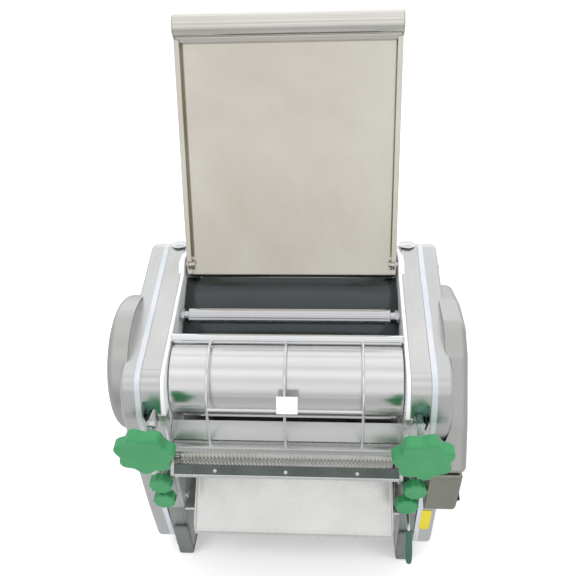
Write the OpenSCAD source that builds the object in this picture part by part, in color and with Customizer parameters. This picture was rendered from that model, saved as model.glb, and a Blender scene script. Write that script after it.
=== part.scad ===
// Electric dough sheeter with a noodle cutter, 240 mm rollers.
// X to the right as the user sees it, Y to the back, Z up, origin on the
// surface it stands on, below the middle of its outline.

/* [Rollers] */
// Radius of the two sheeting rollers
roller_r = 43; // [42:0.1:43.1]
// Distance between the roller axes at the thinnest setting
roller_pitch = 86.6; // [86.6:0.1:87.4]
// Half the length of the roller barrels
roller_half = 121.5; // [110:0.5:122]
// Radius of the roller journals
journal_r = 12.5; // [10:0.5:12.5]
// Height of the front roller's axis above the floor
roller_h = 268; // [267:0.5:269]

/* [Thickness setting] */
// Tilt of the setting screws, below the horizontal
screw_tilt = 13; // [11:1:14]
// Radius of the setting screws
screw_r = 4.5; // [4:0.25:4.9]
// Radius of the large star knobs over the lobes
knob_r = 31; // [26:0.5:32]
// Thickness of the large star knobs
knob_t = 14; // [10:1:18]

/* [Body] */
// Half the clear width between the nylon cheeks
cheek_x = 123; // [123:0.1:123.4]
// Sheet thickness of the stainless covers
sheet_t = 1.5; // [1:0.1:1.8]
// Depth of the pressed covers on the two sides
dome_d = 17.6; // [17:0.1:19]

/* [Tray] */
// Lean of the open tray behind the vertical
tray_lean = 11.8; // [8:0.2:14]
// Length of the tray from its hinge to the rolled end
tray_l = 247; // [180:1:260]
// Half the width of the tray
tray_half = 120.6; // [112:0.2:121.4]
// Radius of the rolled end
roll_r = 13; // [9:0.5:14]

/* [Cutter] */
// Radius of the cutter rollers over the rings
cutter_r = 12; // [11.9:0.05:12.1]
// Width of one noodle and one gap
cutter_pitch = 4; // [3.8:0.1:4.2]

/* [Discharge] */
// Half the width of the discharge chute's floor
chute_half = 116; // [100:1:117]

/* [Hidden] */
$fn = 64;

// From the front-most point of the side outline to the part's own origin
yo = 115.05;

// Side outline of the machine, as [back, up]
S0 = [[197, 365.8], [9.5, 300.6], [0, 260], [32, 96], [48.6, 27], [262, 27],
      [280, 120], [273, 290], [250, 326]];
S_r = [14, 25, 30, 60, 8, 20, 30, 20, 20];
front_y = 32 / 164;                 // slope of the front edge
front_tilt = atan(front_y);

axF = [60.6, roller_h];             // front roller
axB = axF + roller_pitch * [cos(2), sin(2)];      // rear roller
gm = 2.5; z_main = 54; z_pin = 16;
axJ = axB + gm * (z_main + z_pin) / 2 * [cos(223), sin(223)];
axM = [205, 82];                    // motor
axC1 = [10, 205];                   // upper cutter roller
axC2 = axC1 + 22 * [cos(-50), sin(-50)];
axT = [163, 354];                   // tray hinge
axL = [62, 128];                    // clutch lever's pivot
gap_x = 137;                        // setting screws, left and right
liner_x0 = cheek_x; liner_x1 = 129.6;
frame_x0 = 129.8; frame_x1 = 147.2;
cov_x0 = 147.6; cov_x1 = 170;
dome_x0 = 170.2; dome_x1 = 170.2 + dome_d;
big_r = 58; small_r = 20.3; belt_d = 6;

function unit(v) = v / norm(v);
// Moves every edge of a counter-clockwise outline inwards by d
function inset(p, d) = [for (k = [0:len(p) - 1])
  let (a = p[(k + len(p) - 1) % len(p)], b = p[k], c = p[(k + 1) % len(p)],
       e1 = unit(b - a), e2 = unit(c - b),
       n1 = [-e1[1], e1[0]], n2 = [-e2[1], e2[0]])
  b + d * (n1 + n2) / (1 + n1 * n2)];
// Rounds every corner k of an outline to the radius r[k]
function fillet(p, r, n = 6) = [for (k = [0:len(p) - 1])
  let (a = p[(k + len(p) - 1) % len(p)], b = p[k], c = p[(k + 1) % len(p)],
       u = unit(a - b), w = unit(c - b), ang = acos(u * w),
       q = max(r[k], 0.2), t = q / tan(ang / 2),
       p1 = b + u * t, p2 = b + w * t, cen = b + unit(u + w) * q / sin(ang / 2),
       a1 = atan2(p1[1] - cen[1], p1[0] - cen[0]),
       a2 = atan2(p2[1] - cen[1], p2[0] - cen[0]),
       da = (a2 - a1 + 540) % 360 - 180)
  each [for (i = [0:n]) cen + q * [cos(a1 + da * i / n), sin(a1 + da * i / n)]]];
// The side outline, moved in by d
function S(d = 0) = fillet(inset(S0, d), [for (r = S_r) r - d]);
function rnd(p, r, n = 6) = fillet(p, [for (q = p) r], n);

module O() { translate([0, -yo, 0]) children(); }
// Extrudes a [back, up] outline along X
module side(x0, x1) { translate([x0, 0, 0]) rotate([90, 0, 90]) linear_extrude(x1 - x0) children(); }
// A cylinder along X
module rod(c, r, x0, x1, f = 64) { translate([x0, c[0], c[1]]) rotate([0, 90, 0]) cylinder(h = x1 - x0, r = r, $fn = f); }
// Mirrors the right-hand side to the left when s is -1
module hand(s) { if (s < 0) mirror([1, 0, 0]) children(); else children(); }
// Local frame of a forward axis: its X runs along the machine's X, its Z
// runs forward and down by t degrees from point c
module ahead(x, c, t) { translate([x, c[0], c[1]]) rotate([90 + t, 0, 0]) children(); }

// A pressed pan: rings of one outline, moved in by e[1] at the height e[0]
module pan(p, r, e) {
  rings = [for (q = e) fillet(inset(p, q[1]), [for (s = r) s - q[1]])];
  n = len(rings[0]); m = len(e);
  pts = [for (j = [0:m - 1]) each [for (q = rings[j]) [e[j][0], q[0], q[1]]]];
  faces = concat([[for (i = [0:n - 1]) i]],
    [for (j = [0:m - 2]) each [for (i = [0:n - 1])
      [j * n + i, (j + 1) * n + i, (j + 1) * n + (i + 1) % n, j * n + (i + 1) % n]]],
    [[for (i = [n - 1:-1:0]) (m - 1) * n + i]]);
  polyhedron(points = pts, faces = faces, convexity = 6);
}
function edge(x0, x1, r) = concat([[x0, 0]],
  [for (a = [0, 30, 60, 90]) [x1 - r + r * sin(a), r - r * cos(a)]]);

// Involute spur gear outline; thin takes a little off each flank
function gear_pts(m, z, ad, dd, thin = 0.1, pa = 20) =
  let (rp = m * z / 2, rb = rp * cos(pa), ra = rp + ad, rr = rp - dd,
       half = 90 / z - thin / rp * 180 / PI, ip = tan(pa) * 180 / PI - pa,
       t0 = rr > rb ? sqrt((rr / rb) * (rr / rb) - 1) : 0,
       t1 = sqrt((ra / rb) * (ra / rb) - 1), n = 4,
       fl = [for (i = [0:n]) let (t = t0 + (t1 - t0) * i / n, td = t * 180 / PI)
             [rb * sqrt(1 + t * t), -(half + ip) + td - atan(t)]])
  [for (k = [0:z - 1]) each concat(
    rr < rb ? [[rr * cos(k * 360 / z - half - ip), rr * sin(k * 360 / z - half - ip)]] : [],
    [for (f = fl) f[0] * [cos(k * 360 / z + f[1]), sin(k * 360 / z + f[1])]],
    [for (i = [n:-1:0]) fl[i][0] * [cos(k * 360 / z - fl[i][1]), sin(k * 360 / z - fl[i][1])]],
    rr < rb ? [[rr * cos(k * 360 / z + half + ip), rr * sin(k * 360 / z + half + ip)]] : [])];
module gear(c, x0, x1, m, z, ad, dd, thin, phase, bore) {
  translate([0, c[0], c[1]]) side(x0, x1) difference() {
    rotate(phase) polygon(gear_pts(m, z, ad, dd, thin));
    circle(r = bore, $fn = 48);
  }
}
// Tangent loop round two circles
function loop(c1, r1, c2, r2, n = 24) =
  let (d = norm(c2 - c1), g = atan2(c2[1] - c1[1], c2[0] - c1[0]), b = acos((r1 - r2) / d))
  concat([for (i = [0:n]) c1 + r1 * [cos(g + b + (360 - 2 * b) * i / n), sin(g + b + (360 - 2 * b) * i / n)]],
         [for (i = [0:n]) c2 + r2 * [cos(g - b + 2 * b * i / n), sin(g - b + 2 * b * i / n)]]);
// Star knob outline with lobes
function star(r, lobes, dip) = [for (i = [0:95]) let (a = i * 3.75) (r - dip * pow(sin(a * lobes / 2), 2)) * [cos(a), sin(a)]];

// A rectangle along the setting screw's axis: s forward, n up
module along(s0, s1, n0, n1) {
  translate(axF) rotate(180 + screw_tilt) translate([s0, -n1]) square([s1 - s0, n1 - n0]);
}

frame_pts = [[196.5, 363.8], [11.6, 299.4], [2.2, 260], [34, 96], [50, 8], [92, 8],
  [104, 60], [222, 60], [236, 8], [272, 8], [277, 120], [270.6, 290.5], [248.8, 324.4]];
frame_r = [12, 23, 28, 50, 6, 4, 14, 14, 4, 4, 20, 18, 18];
// Inner side of the front legs, left and right
function leg_x(s) = s < 0 ? 126.2 : 128.4;
module frame_side(s) {
  hand(s) difference() {
    union() {
      side(frame_x0, frame_x1) polygon(fillet(frame_pts, frame_r));
      // the front leg is wider, towards the middle
      side(leg_x(s), frame_x0 + 1) polygon(rnd([[22.5, 158], [34, 96], [50, 8], [92, 8], [98, 60], [84, 158]], 5));
    }
    // window for the sliding bearing block, and the screw's channel
    side(frame_x0 - 1, frame_x1 + 1) {
      along(-25, 32, -22, 22);
      along(31, 70, -6.7, 6.7);
      along(38, 50.2, -10, 21.6);
    }
    side(frame_x0 + 1.1, frame_x1 - 0.9) along(50.1, 70, -9, 21.6);
    rod(axB, 23.5, frame_x0 - 9, 151, 96);
    rod(axJ, 16, frame_x0 - 9, 151);
    if (s > 0) {
      rod(axM, 10, frame_x0 - 9, 151);
      // slot for the clutch lever
      side(129.4, 136.6) polygon([[8, 110], [44, 115], [74, 118], [74, 140], [50, 140], [8, 138]]);
      rod(axL, 3.05, 120, 151);
    }
    // dome screws on the top
    translate([dome_screw[0], dome_screw[1], 340]) cylinder(h = 40, r = 3.05, $fn = 32);
    // studs of the clamp knobs
    ahead(137, [(260 - 175) * front_y, 175], front_tilt) translate([0, 0, -22]) cylinder(h = 40, r = 3.05);
    ahead(s > 0 ? 130 : 137, [(260 - 147) * front_y, 147], front_tilt) translate([0, 0, -22]) cylinder(h = 40, r = 3.05);
  }
}
module left_side_frame() { color([0.55, 0.57, 0.57]) O() frame_side(-1); }
module right_side_frame() { color([0.55, 0.57, 0.57]) O() frame_side(1); }

// The nylon cheek, with an ear for the tray's hinge
module liner(s) {
  hand(s) difference() {
    side(liner_x0, liner_x1) union() { translate(axT) circle(r = 8); polygon(fillet(
      [[184.4, 361.4], [9.5, 300.6], [0, 260], [9, 214], [60, 200], [200.4, 200], [200.4, 361.4]],
      [10, 25, 30, 12, 10, 10, 0.5])); }
    side(liner_x0 - 1, liner_x1 + 1) { along(0, 5, -13.8, 13.8); translate(axF) circle(r = 14); translate(axF + 5 * [-cos(screw_tilt), -sin(screw_tilt)]) circle(r = 14); }
    rod(axB, 14, liner_x0 - 1, liner_x1 + 1);
    rod(axT, 3.05, liner_x0 - 1, liner_x1 + 1);
    // step under the trim band's lap
    side(lap_x - 0.15, liner_x1 + 1) band_shape(-1, 1.7, 1);
  }
}
module left_cheek_liner() { color([0.93, 0.94, 0.94]) O() liner(-1); }
module right_cheek_liner() { color([0.93, 0.94, 0.94]) O() liner(1); }

// Inner edge of the trim bands
lap_x = 127;
module band_shape(a, b, c) {
  intersection() {
    difference() { polygon(S(a)); polygon(S(b)); }
    polygon([[-20, 189 - c], [214, 189 + 140 - c], [214, 400], [-20, 400]]);
  }
}
module band(s) {
  hand(s) difference() {
    side(lap_x, frame_x1 + 0.2) band_shape(0, 1.5, 0);
    // no lap beside the rear cover
    side(lap_x - 1, frame_x0) translate([183, 180]) square([60, 300]);
    // window for the setting screw
    side(frame_x0 + 1.1, frame_x1 - 0.9) along(48, 70, -9, 21.6);
    translate([dome_screw[0], dome_screw[1], 340]) cylinder(h = 40, r = 3.05, $fn = 32);
  }
}
module left_trim_band() { color([0.83, 0.84, 0.85]) O() band(-1); }
module right_trim_band() { color([0.83, 0.84, 0.85]) O() band(1); }

// X and Y of the dome screw on each frame's top
dome_screw = [136, 194.5];
cov_p = [[197, 365.5], [9.7, 300.35], [0.4, 260], [32.5, 96], [49.1, 27.4], [262, 27.4],
      [279.6, 120], [272.6, 290], [249.8, 325.7]];
cov_edge = 6;
module main_cover(s) {
  hand(s) difference() {
    pan(cov_p, S_r, edge(cov_x0, cov_x1, cov_edge));
    translate([-0.1, 0, 0]) pan(inset(cov_p, sheet_t), [for (r = S_r) max(r - sheet_t, 2)], edge(cov_x0, cov_x1 - sheet_t, cov_edge - 1));
    if (s > 0) {
      rod(axJ, 12, 160, 172);
      rod(axM, 10, 160, 172);
    }
    for (q = screw_pos) rod(q, 2.05, 160, 172);
  }
}
screw_pos = [[176, 344], [240, 300], [262, 200], [254, 66], [60, 60]];
module left_main_cover() { color([0.70, 0.70, 0.69]) O() main_cover(-1); }
module right_main_cover() { color([0.70, 0.70, 0.69]) O() main_cover(1); }

// What the main cover takes up, for the covers that are fitted round it
module cover_room() { pan(inset(cov_p, -0.12), [for (r = S_r) r + 0.12], edge(140, cov_x1 + 0.12, cov_edge + 0.12)); }
bulge_x0 = 164;
dome_c = [93, 264.5];
dome_r = 76.2;
module left_gear_cover() {
  color([0.68, 0.68, 0.67]) O() mirror([1, 0, 0]) difference() {
    union() {
    rod(dome_c, dome_r - 0.7, bulge_x0, bulge_x0 + 1.2, 96);
    translate([bulge_x0, dome_c[0], dome_c[1]]) rotate([0, 90, 0])
      rotate_extrude($fn = 96) difference() {
        union() { square([dome_r, dome_x1 - bulge_x0 - 9]); square([dome_r - 9, dome_x1 - bulge_x0]); translate([dome_r - 9, dome_x1 - bulge_x0 - 9]) intersection() { circle(r = 9, $fn = 48); square(9); } }
        translate([0, -0.1]) { square([dome_r - sheet_t, dome_x1 - bulge_x0 - 9 + 0.1]); square([dome_r - 9, dome_x1 - bulge_x0 - sheet_t + 0.1]); translate([dome_r - 9, dome_x1 - bulge_x0 - 9 + 0.1]) intersection() { circle(r = 9 - sheet_t, $fn = 48); square(9); } }
      }
    }
    cover_room();
  }
}

belt_p = [[165, 328], [112, 337], [70, 333], [43, 312], [8, 250], [-12, 198.2], [20, 198.2],
          [20, 140], [60, 96], [150, 50], [195, 40], [240, 50], [251, 90], [205, 285]];
belt_r = [22, 30, 26, 26, 40, 5, 3, 20, 40, 30, 30, 26, 26, 40];
module right_belt_cover() {
  color([0.68, 0.68, 0.67]) O() {
    difference() {
      pan(belt_p, belt_r, edge(bulge_x0, dome_x1, 9));
      translate([1.2, 0, 0]) pan(inset(belt_p, sheet_t), [for (r = belt_r) max(r - sheet_t, 2)], edge(bulge_x0, dome_x1 - sheet_t - 1.2, 8));
      cover_room();
      // open towards the side cover
      side(160, bulge_x0 + 1.3) polygon(fillet(inset(cov_p, 0.1), [for (r = S_r) r - 0.1]));
    }
    // lip that wraps round the front of the side cover
    difference() {
      side(153, bulge_x0 + 1) polygon([[-10.6, 198.2], [11.4, 198.2], [3.2, 242]]);
      cover_room();
    }
  }
}

box_p = [[-12, 197.8], [4.6, 130.5], [18.6, 130.5], [18.6, 197.8]];
box_x0 = 150; box_x1 = 184.4;
rock_x = 180.6;
module control_box() {
  color([0.52, 0.53, 0.49]) O() difference() {
    union() {
      pan(box_p, [3, 8, 5, 3], edge(dome_x0, box_x1, 4));
      difference() {
        side(box_x0, dome_x0 + 0.5) polygon(rnd([[-12, 197.8], [4.6, 130.5], [18.6, 130.5], [18.6, 197.8]], 2));
        cover_room();
      }
    }
    side(dome_x0 + 1, box_x1 - sheet_t) polygon(rnd(inset(box_p, sheet_t), 3));
    translate([box_x1 - 5, 1.3, 148]) cube([10, 14, 22]);
  }
}
module power_rocker() {
  color([0.1, 0.1, 0.1]) O() translate([rock_x, 8.3, 159]) rotate([90, 0, 0]) {
    translate([0, 0, -6.6]) linear_extrude(13.2)
      polygon([[-1.4, -8.4], [2.4, -9.4], [6.2, -8.6], [4.6, 0], [4.1, 9], [2.4, 9.6], [-1.4, 8.4]]);
    translate([0, 0, -7.6]) cylinder(h = 15.2, r = 1.8, $fn = 32);
  }
}

module rear_cover() {
  color([0.70, 0.70, 0.69]) O() difference() {
    union() {
      side(-129.5, 129.5) intersection() {
        difference() { polygon(S(2.5)); polygon(S(2.5 + sheet_t)); }
        polygon([[201.6, 400], [201.6, 330], [240, 280], [240, 36], [300, 36], [300, 400]]);
      }
      // narrower where it reaches forward between the cheeks
      side(-122.6, 122.6) intersection() {
        difference() { polygon(S(2.5)); polygon(S(2.5 + sheet_t)); }
        polygon([[181, 400], [181, 330], [202.6, 330], [202.6, 400]]);
      }
    }
    // cord inlet
    translate([90, 290, 70]) rotate([90, 0, 0]) cylinder(h = 50, r = 8.1);
    // cooling louvres
    for (i = [-4:4], j = [0:4]) translate([i * 22 - 8, 250, 110 + j * 14]) cube([16, 50, 5]);
  }
}
module base_pan() {
  color([0.62, 0.62, 0.61]) O() difference() {
    union() {
      translate([-129.5, 97, 30]) cube([259, 138, 1.5]);
      for (s = [-1, 1]) hand(s) translate([128, 106, 30]) cube([1.5, 114, 44]);
    }
    for (i = [-5:5]) translate([i * 20 - 3, 104, 28]) cube([6, 34, 6]);
  }
}
rod_pos = [[226, 312], [252, 52], [112, 90]];
module tie_rods() {
  color([0.6, 0.6, 0.6]) O() for (q = rod_pos) rod(q, 6, -129.7, 129.7, 48);
}

module throat_bar() {
  color([0.85, 0.86, 0.87]) O() {
    rod([108, 318], 8, -112, 112);
    for (s = [-1, 1]) hand(s) { rod([108, 318], 4.5, 112, 122.8, 32); rod([108, 318], 6.5, 117, 121.4, 6); }
  }
}
// A flat strip from a to b, t thick on its right-hand side
function strip(a, b, t) = let (u = unit(b - a), n = [u[1], -u[0]]) [a, b, b + t * n, a + t * n];
module feed_plate() {
  color([0.35, 0.37, 0.38]) O() side(-121.6, 121.6) polygon(strip([104, 293], [157.6, 339.5], 1.2));
}
module front_scraper() {
  color([0.72, 0.74, 0.73]) O() side(-122.4, 122.4)
    polygon(strip([20.5, 240.2], [6.6, 225.36], -1.5));
}
module rear_scraper() {
  t = axB + 44.2 * [cos(250), sin(250)];
  color([0.72, 0.74, 0.73]) O() side(-122.4, 122.4)
    polygon(strip(t, t + [-15, -22], 1.5));
}

// Safety guard: a bar between the cheeks and wires bowed over the roller
axG = [62, 316.8];
guard_r = 59.4;
guard_low = [3.5, 268];
wire_x = [-80, 0, 80];
module guard_bar() { color([0.85, 0.86, 0.87]) O() rod(axG, 5, -122.7, 122.7); }
module guard_wires() {
  color([0.88, 0.89, 0.9]) O() difference() {
    union() {
      for (x = wire_x) translate([x, axG[0], axG[1] - guard_r]) rotate([90, 0, 90])
        rotate([0, 0, 90]) rotate_extrude(angle = 90, $fn = 96) translate([guard_r, 0]) circle(r = 1.5, $fn = 24);
      for (x = wire_x) translate([x, axG[0] - guard_r, 225]) cylinder(h = axG[1] - guard_r - 225, r = 1.5, $fn = 24);
      rod(guard_low, 1.5, -80, 80, 24);
    }
    rod(axG, 5.05, -130, 130);
  }
}
module guard_clips() {
  color([0.85, 0.86, 0.87]) O() for (s = [-1, 1]) hand(s) {
    side(121.7, 122.9) polygon([[2, 226], [9, 232], [13, 262], [2, 262], [-0.6, 252], [-0.6, 244], [1, 240]]);
    side(121.7, 129.4) intersection() {
      difference() { polygon(S(-1.7)); polygon(S(-0.1)); }
      translate([-10, 243]) square([30, 20]);
    }
  }
}

chute_dx = 3;
ch_a = [95, 150]; ch_b = [22, 68];
module discharge_chute() {
  color([0.78, 0.77, 0.75]) O() translate([chute_dx, 0, 0]) {
    side(-chute_half, chute_half) polygon(strip(ch_a, ch_b, -1.3));
    for (s = [-1, 1]) hand(s) side(chute_half - 0.01, chute_half + 1.3) polygon(strip(ch_a, ch_b, 9));
    for (s = [-1, 1]) hand(s) side(chute_half - 0.01, chute_half + 1.3) polygon(strip(ch_a, ch_b, -1.3));
    side(-chute_half, chute_half) polygon(strip(ch_b, ch_b + [1.5, -5], -1.3));
  }
}
module panel_screws() {
  color([0.8, 0.8, 0.8]) O() {
    for (s = [-1, 1]) hand(s) for (q = screw_pos) {
      rod(q, 2, 166, cov_x1 + 0.05, 24);
      rod(q, 4, cov_x1 + 0.05, cov_x1 + 2, 32);
    }
    for (x = [-75, 0, 75]) ahead(x, [-8.9, 196.4], -32.6) translate([0, 0, 0.06]) cylinder(h = 1.6, r = 2.4, $fn = 24);
    for (s = [-1, 1]) hand(s) rod([48, 102.6], 4.6, leg_x(s) - 3, leg_x(s), 32);
    for (s = [-1, 1]) hand(s) rod([37, 91], 2.4, s > 0 ? 120.4 : 114.4, leg_x(s), 24);
    // dome screws on the frames' tops
    for (s = [-1, 1]) hand(s) translate([dome_screw[0], dome_screw[1], 0]) {
      translate([0, 0, 345]) cylinder(h = 20, r = 3, $fn = 32);
      translate([0, 0, 364.2]) intersection() {
        cylinder(h = 5, r = 9.8);
        translate([0, 0, 2.8 - 18.5]) sphere(r = 18.5, $fn = 96);
      }
    }
  }
}
module tray_pivot_pins() {
  color([0.85, 0.86, 0.87]) O() for (s = [-1, 1]) hand(s) {
    rod(axT, 3, 113.5, lap_x - 0.2, 32);
    rod(axT, 4, 111.5, 113.5, 32);
  }
}
module rubber_feet() {
  color([0.2, 0.21, 0.21]) O() for (s = [-1, 1]) hand(s) {
    side(leg_x(s), leg_x(s) + 18) polygon([[35.6, 58], [44.6, 3], [47, 0], [91, 0], [91, 7.9], [49.4, 7.9], [40.3, 58]]);
    linear_extrude(8) polygon(rnd([[128, 236.6], [149, 236.6], [149, 271.6], [128, 271.6]], 5));
  }
}

module motor_body() {
  color([0.33, 0.36, 0.38]) O() {
    rod(axM + [0, 0], 46 - 1.5, -88, 58, 96);
    for (i = [0:17]) translate([0, axM[0], axM[1]]) rotate([i * 20 + 10, 0, 0]) translate([-80, -1, 40]) cube([130, 2, 6]);
    difference() { rod(axM, 46, 58, 68, 96); rod(axM, 8.5, 57, 70, 48); }
    rod(axM, 46, -94, -88, 96);
    difference() { rod(axM, 43, -112, -94, 96); rod(axM, 40, -110, -93, 96); }
  }
}
module motor_bracket() {
  color([0.45, 0.45, 0.45]) O() for (x = [-70, 30]) difference() {
    translate([x, axM[0] - 36, 31.7]) cube([16, 65, 29]);
    rod(axM, 46.2, x - 1, x + 17, 96);
  }
}
module run_capacitor() {
  color([0.8, 0.8, 0.78]) O() { translate([-108, 140, 31.7]) cylinder(h = 72, r = 16); translate([-108, 140, 103.7]) cylinder(h = 5, r = 11, $fn = 48); }
}
module cord_gland() {
  color([0.12, 0.12, 0.12]) O() translate([90, 0, 70]) rotate([-90, 0, 0]) difference() {
    union() {
      translate([0, 0, 252]) cylinder(h = 20, r = 8);
      translate([0, 0, 270.4]) cylinder(h = 5, r = 11, $fn = 6);
      translate([0, 0, 256]) cylinder(h = 5, r = 11, $fn = 6);
    }
    translate([0, 0, 251]) cylinder(h = 26, r = 3.5);
  }
}
module ring(c, ro, ri, x0, x1) { difference() { rod(c, ro, x0, x1, 96); rod(c, ri, x0 - 1, x1 + 1, 64); } }
module roller_bearings() {
  color([0.5, 0.5, 0.52]) O() {
    for (s = [-1, 1]) hand(s) ring(axB, 23.45, journal_r + 0.05, frame_x0, frame_x1);
    ring(axJ, 15.95, 7.55, frame_x0, frame_x1);
  }
}
module gap_nuts() {
  color([0.72, 0.6, 0.3]) O() for (s = [-1, 1]) hand(s) ahead(gap_x, axF, screw_tilt) difference() {
    translate([frame_x0 + 1.2 - gap_x, -9.9, 38.1]) cube([frame_x1 - frame_x0 - 2.2, 31.4, 12]);
    translate([0, 0, 37]) cylinder(h = 14, r = screw_r + 0.06);
  }
}
module drive_belt() {
  color([0.12, 0.12, 0.12]) O() side(174.2, 181.8) difference() {
    polygon(loop(axJ, big_r + 0.3, axM, small_r));
    polygon(loop(axJ, big_r + 0.3 - belt_d, axM, small_r - belt_d));
  }
}

// Noodle cutter
cut_end = [[-6.4, 226], [-6.4, 204], [-13, 191.4], [-2, 176], [44, 166], [48, 200], [24, 218], [6.4, 226]];
module cutter_end_plates() {
  color([0.75, 0.75, 0.75]) O() for (s = [-1, 1]) hand(s) difference() {
    union() {
      side(118.6, 122.4) polygon(rnd(cut_end, 2));
      side(122.3, 146) polygon([[9.8, 192], [12.6, 192], [18.8, 160], [16, 160]]);
    }
    rod(axC1, 4.05, 118, 123, 48);
    rod(axC2, 4.05, 118, 123, 48);
    ahead(137, [(260 - 175) * front_y, 175], front_tilt) translate([0, 0, -22]) cylinder(h = 60, r = 3.3, $fn = 32);
  }
}
module cutter_top_bar() { color([0.86, 0.86, 0.85]) O() translate([-118.5, -6, 219]) cube([237, 12, 6]); }
module cutter_comb_plate() {
  color([0.4, 0.41, 0.4]) O() {
    side(-118.5, 118.5) polygon(strip([-5.6, 201.54], [-11.9, 191.7], -1.5));
    side(-118.5, 118.5) polygon(strip([-11.9, 191.7], [-11.2, 188.6], -1.5));
  }
}
// Ringed roller: rings and grooves by turns, starting d from the left end
module ringed(c, d) {
  rod(c, 9.6, -112.6, 112.6, 48);
  for (x = [-110 + d : cutter_pitch : 111]) rod(c, cutter_r, x, x + cutter_pitch / 2 - 0.1, 48);
  rod(c, 4, -122.3, 122.3, 32);
}
module upper_cutter_roller() {
  color([0.8, 0.8, 0.8]) O() { ringed(axC1, 0); gear(axC1, -118.4, -113.4, 1, 22, 0.9, 1.2, 0.12, -50, 4); rod(axC1, 4.2, -118.4, -112, 32); }
}
module lower_cutter_roller() {
  color([0.8, 0.8, 0.8]) O() { ringed(axC2, 2); gear(axC2, -118.4, -113.4, 1, 22, 0.9, 1.2, 0.12, 130 + 180 / 22, 4); rod(axC2, 4.2, -118.4, -112, 32); }
}

// Feed tray, in its own frame: along the panel from the hinge, and forward
module tray_frame() { O() translate([0, axT[0], axT[1]]) rotate([-tray_lean, 0, 0]) children(); }
module feed_tray() {
  color([0.80, 0.79, 0.76]) tray_frame() difference() {
    union() {
      translate([-tray_half, 4.6, -16.6]) cube([2 * tray_half, 1.5, tray_l + 16.6]);
      for (s = [-1, 1]) hand(s) {
        side(tray_half - 1.5, tray_half) polygon(rnd([[6.1, tray_l], [-4.5, tray_l], [-4.5, -14], [6.1, -14]], 0.4));
        side(tray_half - 5.5, tray_half) polygon([[-4.5, tray_l], [-6, tray_l], [-6, 5], [-4.5, 5]]);
        side(tray_half - 5.5, tray_half) polygon([[-4.5, -5], [-6, -5], [-6, -14], [-4.5, -14]]);
        rod([0, 0], 4.6, tray_half - 5.5, tray_half + 0.6, 48);
      }
      difference() {
        rod([3.6, tray_l + roll_r], roll_r, -tray_half, tray_half, 96);
        rod([3.6, tray_l + roll_r], roll_r - 1.5, -tray_half - 2, tray_half + 2, 96);
      }
      translate([-tray_half, -5, tray_l - 1]) cube([2 * tray_half, 11.1, 1.5]);
    }
    rod([0, 0], 3.08, -130, 130, 32);
  }
}
module tray_end_caps() {
  color([0.75, 0.75, 0.74]) tray_frame() for (s = [-1, 1]) hand(s) {
    rod([3.6, tray_l + roll_r], roll_r - 1.55, tray_half - 3, tray_half + 0.1, 96);
    rod([3.6, tray_l + roll_r], roll_r - 0.2, tray_half + 0.05, tray_half + 1.2, 96);
  }
}

module rear_roller() {
  color([0.87, 0.88, 0.89]) O() { rod(axB, roller_r, -roller_half, roller_half, 128); rod(axB, journal_r, -167.5, 167); }
}
module rear_roller_gear() {
  color([0.45, 0.45, 0.46]) O() gear(axB, -164.6, -150.4, 4, 21, 3.1, 5, 0.25, 182, journal_r + 0.02);
}
module main_gear() {
  color([0.45, 0.45, 0.46]) O() gear(axB, 151.5, 164, gm, z_main, 2.25, 3.1, 0.12, 223, journal_r + 0.02);
}
module front_roller() {
  color([0.87, 0.88, 0.89]) O() { rod(axF, roller_r, -roller_half, roller_half, 128); rod(axF, journal_r, -167.5, 147); }
}
module front_roller_gear() {
  color([0.45, 0.45, 0.46]) O() gear(axF, -164.6, -150.4, 4, 21, 3.1, 5, 0.25, 2 + 180 / 21, journal_r + 0.02);
}
module front_bearing_blocks() {
  color([0.75, 0.65, 0.4]) O() for (s = [-1, 1]) hand(s) difference() {
    side(frame_x0 + 0.4, frame_x1 - 0.4) along(-20.5, 21, -21.7, 21.7);
    rod(axF, journal_r + 0.05, 130, 150);
    ahead(gap_x, axF, screw_tilt) translate([0, 0, 15]) cylinder(h = 10, r = 3.55, $fn = 48);
  }
}
// Setting screw with its lock nut from n0 to n1 along it
module gap_screw(n0, n1) {
  ahead(gap_x, axF, screw_tilt) {
    translate([0, 0, 15.2]) cylinder(h = 7, r = 3.5, $fn = 48);
    translate([0, 0, 21.4]) cylinder(h = 70, r = screw_r, $fn = 48);
    translate([0, 0, n0]) cylinder(h = n1 - n0, r = 6.1, $fn = 48);
  }
}
module gap_knob(turn) {
  ahead(gap_x, axF, screw_tilt) translate([0, 0, 92]) rotate(turn) difference() {
    union() {
      linear_extrude(1.5) polygon(star(knob_r - 1.2, 7, 5));
      translate([0, 0, 1.5]) linear_extrude(knob_t - 3) polygon(star(knob_r, 7, 5));
      translate([0, 0, knob_t - 1.5]) linear_extrude(1.5) polygon(star(knob_r - 1.2, 7, 5));
      translate([0, 0, -7]) cylinder(h = 8, r = 10, $fn = 48);
    }
    translate([0, 0, -8]) cylinder(h = 8 + 6, r = screw_r + 0.02, $fn = 48);
  }
}
module left_gap_screw() { color([0.75, 0.76, 0.77]) O() hand(-1) gap_screw(63.5, 72); }
module right_gap_screw() { color([0.75, 0.76, 0.77]) O() gap_screw(50.6, 62.6); }
module left_gap_knob() { color([0.25, 0.62, 0.40]) O() hand(-1) gap_knob(19.3); }
module right_gap_knob() { color([0.25, 0.62, 0.40]) O() gap_knob(22.5); }

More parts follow.
